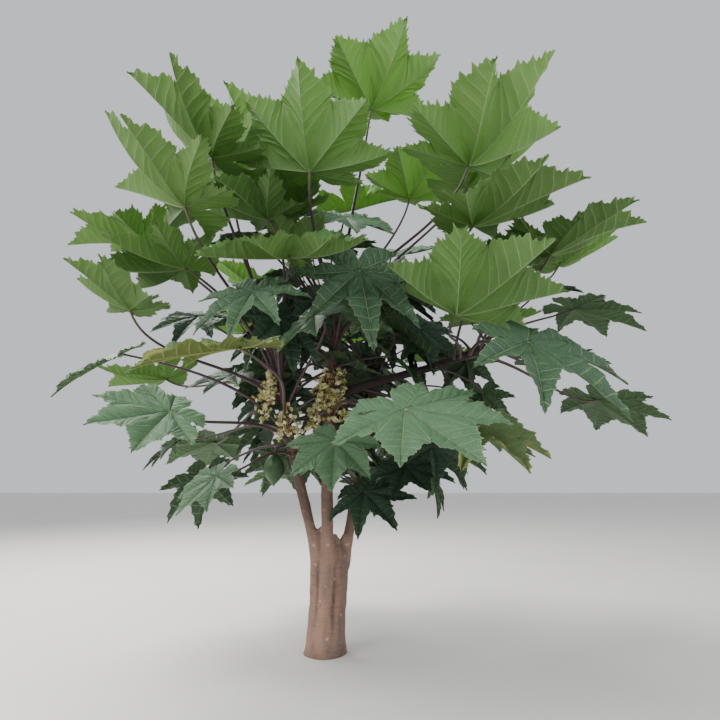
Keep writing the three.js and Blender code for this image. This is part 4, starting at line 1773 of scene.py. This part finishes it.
@dataclass(frozen=True)
class Blossom:
    """All the sprays of blossom.

    Attributes:
        sprays: The sprays. The first three stand for those of the frame.
        nodes: Names of the frame's own sprays.
        branches: Branchlets on a spray.
        main_radii: Radius of a spray's main stalk at its top, and how much of that it loses.
        twig_radii: Radii of a branchlet at its two ends.
        twig_long: Smallest and largest length of a branchlet.
        flowers: Flowers and buds on a branchlet.
        spacing: Share of the branchlet from one to the next.
        open_share: Share of them that are open flowers.
        yellow_share: Share of the flowers that are yellow.
        petal: Length of a petal.
        petal_turn: Turn in radians from a corner of the tube to the middle of its petal.
        throat: Length of a flower's tube.
        throat_radii: Radii of a flower's tube at its foot and its mouth.
        bud_long: Smallest and largest length of a bud.
    """

    sprays: tuple[Spray, ...] = (
        Spray("centre", 0.78, -110, 0.09, 0.24),
        Spray("centre", 0.6, 215, 0.08, 0.18),
        Spray("left", 0.84, 5, 0.06, 0.24),
        Spray("centre", 0.7, -70, 0.06, 0.2),
        Spray("centre", 0.66, -150, 0.08, 0.2),
        Spray("centre", 0.74, -120, 0.04, 0.2),
        Spray("centre", 0.68, -30, 0.06, 0.18),
        Spray("centre", 0.8, -50, 0.05, 0.2),
        Spray("centre", 0.74, 190, 0.06, 0.2),
        Spray("left", 0.86, -60, 0.07, 0.2),
        Spray("left", 0.97, -100, 0.07, 0.2),
        Spray("left", 0.9, -130, 0.09, 0.2),
        Spray("left", 0.82, -90, 0.05, 0.16),
        Spray("left", 0.93, 170, 0.08, 0.2),
        Spray("centre", 0.74, 100, 0.06, 0.2),
        Spray("rear", 0.8, 60, 0.06, 0.2),
    )
    nodes: tuple[str, ...] = ("blossom_centre_front", "blossom_centre_side", "blossom_left")
    branches: int = 14
    main_radii: tuple[float, float] = (0.0065, 0.0035)
    twig_radii: tuple[float, float] = (0.0026, 0.0016)
    twig_long: tuple[float, float] = (0.03, 0.06)
    flowers: int = 6
    spacing: float = 0.16
    open_share: float = 0.6
    yellow_share: float = 0.25
    petal: float = 0.015
    petal_turn: float = 0.63
    throat: float = 0.016
    throat_radii: tuple[float, float] = (0.0022, 0.0035)
    bud_long: tuple[float, float] = (0.014, 0.028)

    def flower(self, at: Array, way: Array, open_share: float, slot: int) -> Surface:
        """Builds one five-petalled flower.

        Args:
            at: Where it is attached.
            way: Direction that it faces.
            open_share: How far it is open, from 0 to 1.
            slot: Material slot.

        Returns:
            The flower.
        """
        side = square_to(way)
        over = np.cross(way, side)
        angles = np.radians(np.arange(5) * 72)
        mouth = self.throat_radii[1]
        places = [
            at + way * deep + radius * (np.cos(a) * side + np.sin(a) * over)
            for deep, radius in zip((0.0, self.throat), self.throat_radii)
            for a in angles
        ]
        places.append(at + way * self.throat * 0.9)
        flat = 0.35 + 0.65 * open_share
        corners = []
        for k, angle in enumerate(angles):
            after = (k + 1) % 5
            corners += [(k, after, 5 + after), (k, 5 + after, 5 + k), (5 + k, 5 + after, 10)]
            out = math.cos(angle + self.petal_turn) * side + math.sin(angle + self.petal_turn) * over
            wide = np.cross(way, out)
            start = len(places)
            for deep, half in ((0.0, 0.3), (0.5, 0.42), (0.85, 0.25)):
                bow = self.petal * deep
                middle = at + way * (self.throat + bow * (1 - flat * deep)) + out * (mouth + bow * flat)
                places += [middle - wide * self.petal * half, middle + wide * self.petal * half]
            last = at + way * (self.throat + self.petal * (1 - flat)) + out * (mouth + self.petal * flat)
            places.append(last)
            for step in range(2):
                a = start + 2 * step
                corners += [(a, a + 1, a + 3), (a, a + 3, a + 2)]
            corners.append((start + 4, start + 5, start + 6))
        run = np.zeros(len(places))
        return Surface(np.array(places), np.array(corners), np.full(len(corners), slot), {"run": run})

    def bud(self, at: Array, way: Array, long: float, slot: int) -> Surface:
        """Builds one closed bud.

        Args:
            at: Where it is attached.
            way: Direction that it points.
            long: Its length.
            slot: Material slot.

        Returns:
            The bud.
        """
        shares = np.array([0.0, 0.3, 0.65, 0.9])
        radii = long * np.array([0.12, 0.2, 0.24, 0.12])
        curve = Bezier(np.array([at, at + way * long]))
        return tube(curve, shares, radii, 6, square_to(way), slot)

    def spray(self, spray: Spray, random: Random) -> tuple[list[Surface], list[Surface]]:
        """Builds one spray.

        Args:
            spray: The spray.
            random: Makes each flower a little different.

        Returns:
            Its flowers and buds, and its stalks.
        """
        stem = STEMS[spray.stem]
        root = stem.curve.point(spray.share)
        shoulder = root + heading(spray.azimuth, 0) * (stem.foot + spray.reach) + [0, 0, 0.02]
        end = shoulder - [0, 0, spray.drop + 0.02]
        main = Bezier(np.array([root, shoulder, end]))
        shares = np.linspace(0, 1, 14)
        side = crossways(spray.azimuth)
        thick, loss = self.main_radii
        stalks = [tube(main, shares, thick - loss * shares, 6, side)]
        heads = []
        for k, at in enumerate(np.linspace(0.34, 1, self.branches)):
            start = main.point(at)
            way = heading(spray.azimuth + GOLDEN_ANGLE * k, random.uniform(-35, 25))
            long = random.uniform(*self.twig_long)
            bend = start + way * long * 0.6
            tip = bend + unit(way + [0, 0, -0.5]) * long * 0.4
            twig = Bezier(np.array([start, bend, tip]))
            radii = np.linspace(*self.twig_radii, 5)
            stalks.append(tube(twig, np.linspace(0, 1, 5), radii, 5, side + 0.01))
            for number in range(self.flowers):
                along = twig.point(1 - self.spacing * number)
                facing = unit(heading(random.uniform(0, 360), random.uniform(-60, 35)) + way * 0.4)
                if random.random() < self.open_share:
                    wide_open = random.uniform(0.4, 1)
                    slot = int(random.random() < self.yellow_share)
                    heads.append(self.flower(along, facing, wide_open, slot))
                else:
                    long_bud = random.uniform(*self.bud_long)
                    heads.append(self.bud(along, facing, long_bud, int(random.integers(1, 4))))
        return heads, stalks

    def build(self) -> None:
        """Makes the pieces: flowers with buds, and stalks."""
        heads, stalks = [], []
        for k, spray in enumerate(self.sprays):
            more_heads, more_stalks = self.spray(spray, np.random.default_rng([SEED, 100, k]))
            heads += more_heads
            stalks += more_stalks
        skins = [finish.material() for finish in (CREAM_PETAL, YELLOW_PETAL, GREEN_BUD, RED_BUD)]
        flowers = Surface.joined(heads).piece("blossom_flowers", skins, "blossom")
        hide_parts(*self.nodes)
        Surface.joined(stalks).piece("blossom_stalks", [BLOSSOM_STALK.material()], "blossom")


@dataclass(frozen=True)
class Fruit:
    """One green fruit on its stalk.

    Attributes:
        name: The piece's name.
        node: The frame's node that it stands for.
        share: Share of the left stem where it leaves.
        azimuth: Direction of its stalk.
        reach: How far it hangs off the stem's centreline.
        drop: How far it hangs below its stalk's foot.
        wide: Its largest radius.
        long: Its length.
        outline: Share of its length and share of its largest radius, from its stalk down.
        ribs: Soft ribs round it.
        rib_height: How far they stand out, in shares of its radius.
    """

    name: str
    node: str
    share: float
    azimuth: float
    reach: float
    drop: float
    wide: float
    long: float
    outline: tuple[tuple[float, float], ...] = (
        (0, 0.16), (0.04, 0.36), (0.12, 0.6), (0.25, 0.83), (0.38, 0.97), (0.5, 1),
        (0.62, 0.94), (0.73, 0.8), (0.83, 0.58), (0.91, 0.34), (0.96, 0.17), (1, 0.05),
    )
    ribs: int = 5
    rib_height: float = 0.02

    def swell(self, turns: Array, at: Array) -> Array:
        """Tells how the ribs change the radius, at directions in degrees and shares of the length."""
        ribs = self.rib_height * np.cos(np.radians(turns * self.ribs))
        return 1 + ribs * np.sin(math.pi * at)[:, None]

    def build(self) -> None:
        """Makes the piece."""
        root = STEMS["left"].curve.point(self.share)
        top = root + heading(self.azimuth, 0) * self.reach - [0, 0, self.drop]
        knots = np.array(self.outline)
        shares = np.linspace(0, 1, 40)
        radii = np.interp(shares, knots[:, 0], knots[:, 1]) * self.wide
        for _ in range(2):
            radii[1:-1] = (radii[:-2] + 2 * radii[1:-1] + radii[2:]) / 4
        curve = Bezier(np.array([top, top - [0, 0, self.long]]))
        body = tube(curve, shares, radii, 40, BACKWARD, level=True, swell=self.swell)
        # The rings run down here, so the corners are turned round for the faces to look out.
        body.corners = body.corners[:, ::-1]
        above = top + [0, 0, self.drop + 0.02]
        path = Bezier(np.array([root, above, top - [0, 0, 0.012]]))
        steps = np.linspace(0, 1, 14)
        stalk = tube(path, steps, 0.011 - 0.002 * steps, 10, crossways(self.azimuth), 1)
        point = top - [0, 0, self.long]
        tip = Bezier(np.array([point + [0, 0, 0.004], point - [0, 0, 0.006]]))
        calyx = tube(tip, np.array([0.0, 0.5, 1.0]), np.array([0.006, 0.005, 0.001]), 8, crossways(0), 2)
        skins = [FRUIT_SKIN.material(), LEAF_STALK.material(), BLOSSOM_STALK.material()]
        piece = Surface.joined([body, stalk, calyx]).piece(self.name, skins, "fruit")
        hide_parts(self.node)


FRUITS = (
    Fruit("fruit_large_skin", "fruit_large", 0.68, 226, 0.148, 0.045, 0.069, 0.212),
    Fruit("fruit_small_skin", "fruit_small", 0.65, -62, 0.084, 0.06, 0.034, 0.098),
)


@dataclass(frozen=True)
class Lamp:
    """A square soft light that looks at the crown.

    Attributes:
        place: Where it stands.
        side: Length of its side.
        watts: Its power.
        colour: Its colour.
    """

    place: Triple
    side: float
    watts: float
    colour: Triple


@dataclass(frozen=True)
class Studio:
    """The floor, the lights and the camera.

    Attributes:
        floor_side: Side of the square floor.
        camera_place: Where the camera stands.
        camera_pitch: Degrees that it looks up.
        lens: Focal length in millimetres on a 36 mm sensor.
        target: What the lights look at.
        lamps: The lights.
        sky: Brightness of the even light all round.
        sky_colour: Its colour.
    """

    floor_side: float = 60.0
    camera_place: Triple = (0.23, -4.3, 1.2)
    camera_pitch: float = 10.5
    lens: float = 30.0
    target: Triple = (0.1, 0.0, 2.2)
    lamps: tuple[Lamp, ...] = (
        Lamp((-4.0, 3.5, 7.5), 5.0, 1250.0, (1.0, 0.98, 0.95)),
        Lamp((-4.5, -4.5, 5.5), 4.0, 430.0, (1.0, 0.99, 0.97)),
        Lamp((4.0, -4.5, 4.5), 4.5, 150.0, (0.97, 0.99, 1.0)),
    )
    sky: float = 0.78
    sky_colour: Triple = (0.93, 0.95, 1.0)

    def floor(self) -> None:
        """Lays the floor."""
        square = np.array([[-1, -1, 0], [1, -1, 0], [1, 1, 0], [-1, 1, 0]])
        surface = Surface(square * (self.floor_side / 2), np.array([[0, 1, 2], [0, 2, 3]]), np.zeros(2, int))
        sheet = NodeSheet("floor")
        tone = sheet.blend(sheet.noise(scale=0.8, detail=2.0), 0xD8D6D1, 0xE2E0DB)
        mesh = surface.mesh("floor", 30)
        mesh.materials.append(sheet.finished(tone, roughness=0.85))
        floor = linked("floor", mesh)

    def light(self) -> None:
        """Sets the lamps and the even light all round."""
        aim = np.array(self.target)
        for k, lamp in enumerate(self.lamps):
            data = bpy.data.lights.new(f"lamp_{k}", "AREA")
            data.size = lamp.side
            data.energy = lamp.watts
            data.color = lamp.colour
            light = linked(f"lamp_{k}", data)
            light.location = lamp.place
            way = unit(aim - np.array(lamp.place))
            light.rotation_euler = (math.acos(-way[2]), 0, math.atan2(-way[0], way[1]))
        world = bpy.data.worlds.new("sky")
        world.use_nodes = True
        background = world.node_tree.nodes["Background"]
        background.inputs["Color"].default_value = (*self.sky_colour, 1.0)
        background.inputs["Strength"].default_value = self.sky
        bpy.context.scene.world = world

    def camera(self) -> None:
        """Sets the camera at the photograph's viewing angle."""
        data = bpy.data.cameras.new("camera")
        data.sensor_width = 36.0
        data.lens = self.lens
        data.clip_end = 200.0
        camera = linked("camera", data)
        camera.location = self.camera_place
        camera.rotation_euler = (math.radians(90 + self.camera_pitch), 0, 0)
        bpy.context.scene.camera = camera

    def build(self) -> None:
        """Builds the studio."""
        self.floor()
        self.light()
        self.camera()


def main() -> None:
    """Builds the whole scene."""
    logging.basicConfig(level=logging.INFO, format="%(name)s %(message)s")
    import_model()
    Studio().build()
    log.info("studio done")
    bark = Bark().build().piece("bark_skin", [BARK.material()], "bark", crease=60)
    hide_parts("trunk", "stem_centre", "stem_left", "stem_rear", "bough_right")
    Crown().build()
    Blossom().build()
    for fruit in FRUITS:
        fruit.build()
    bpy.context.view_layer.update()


if __name__ == "__main__":
    main()
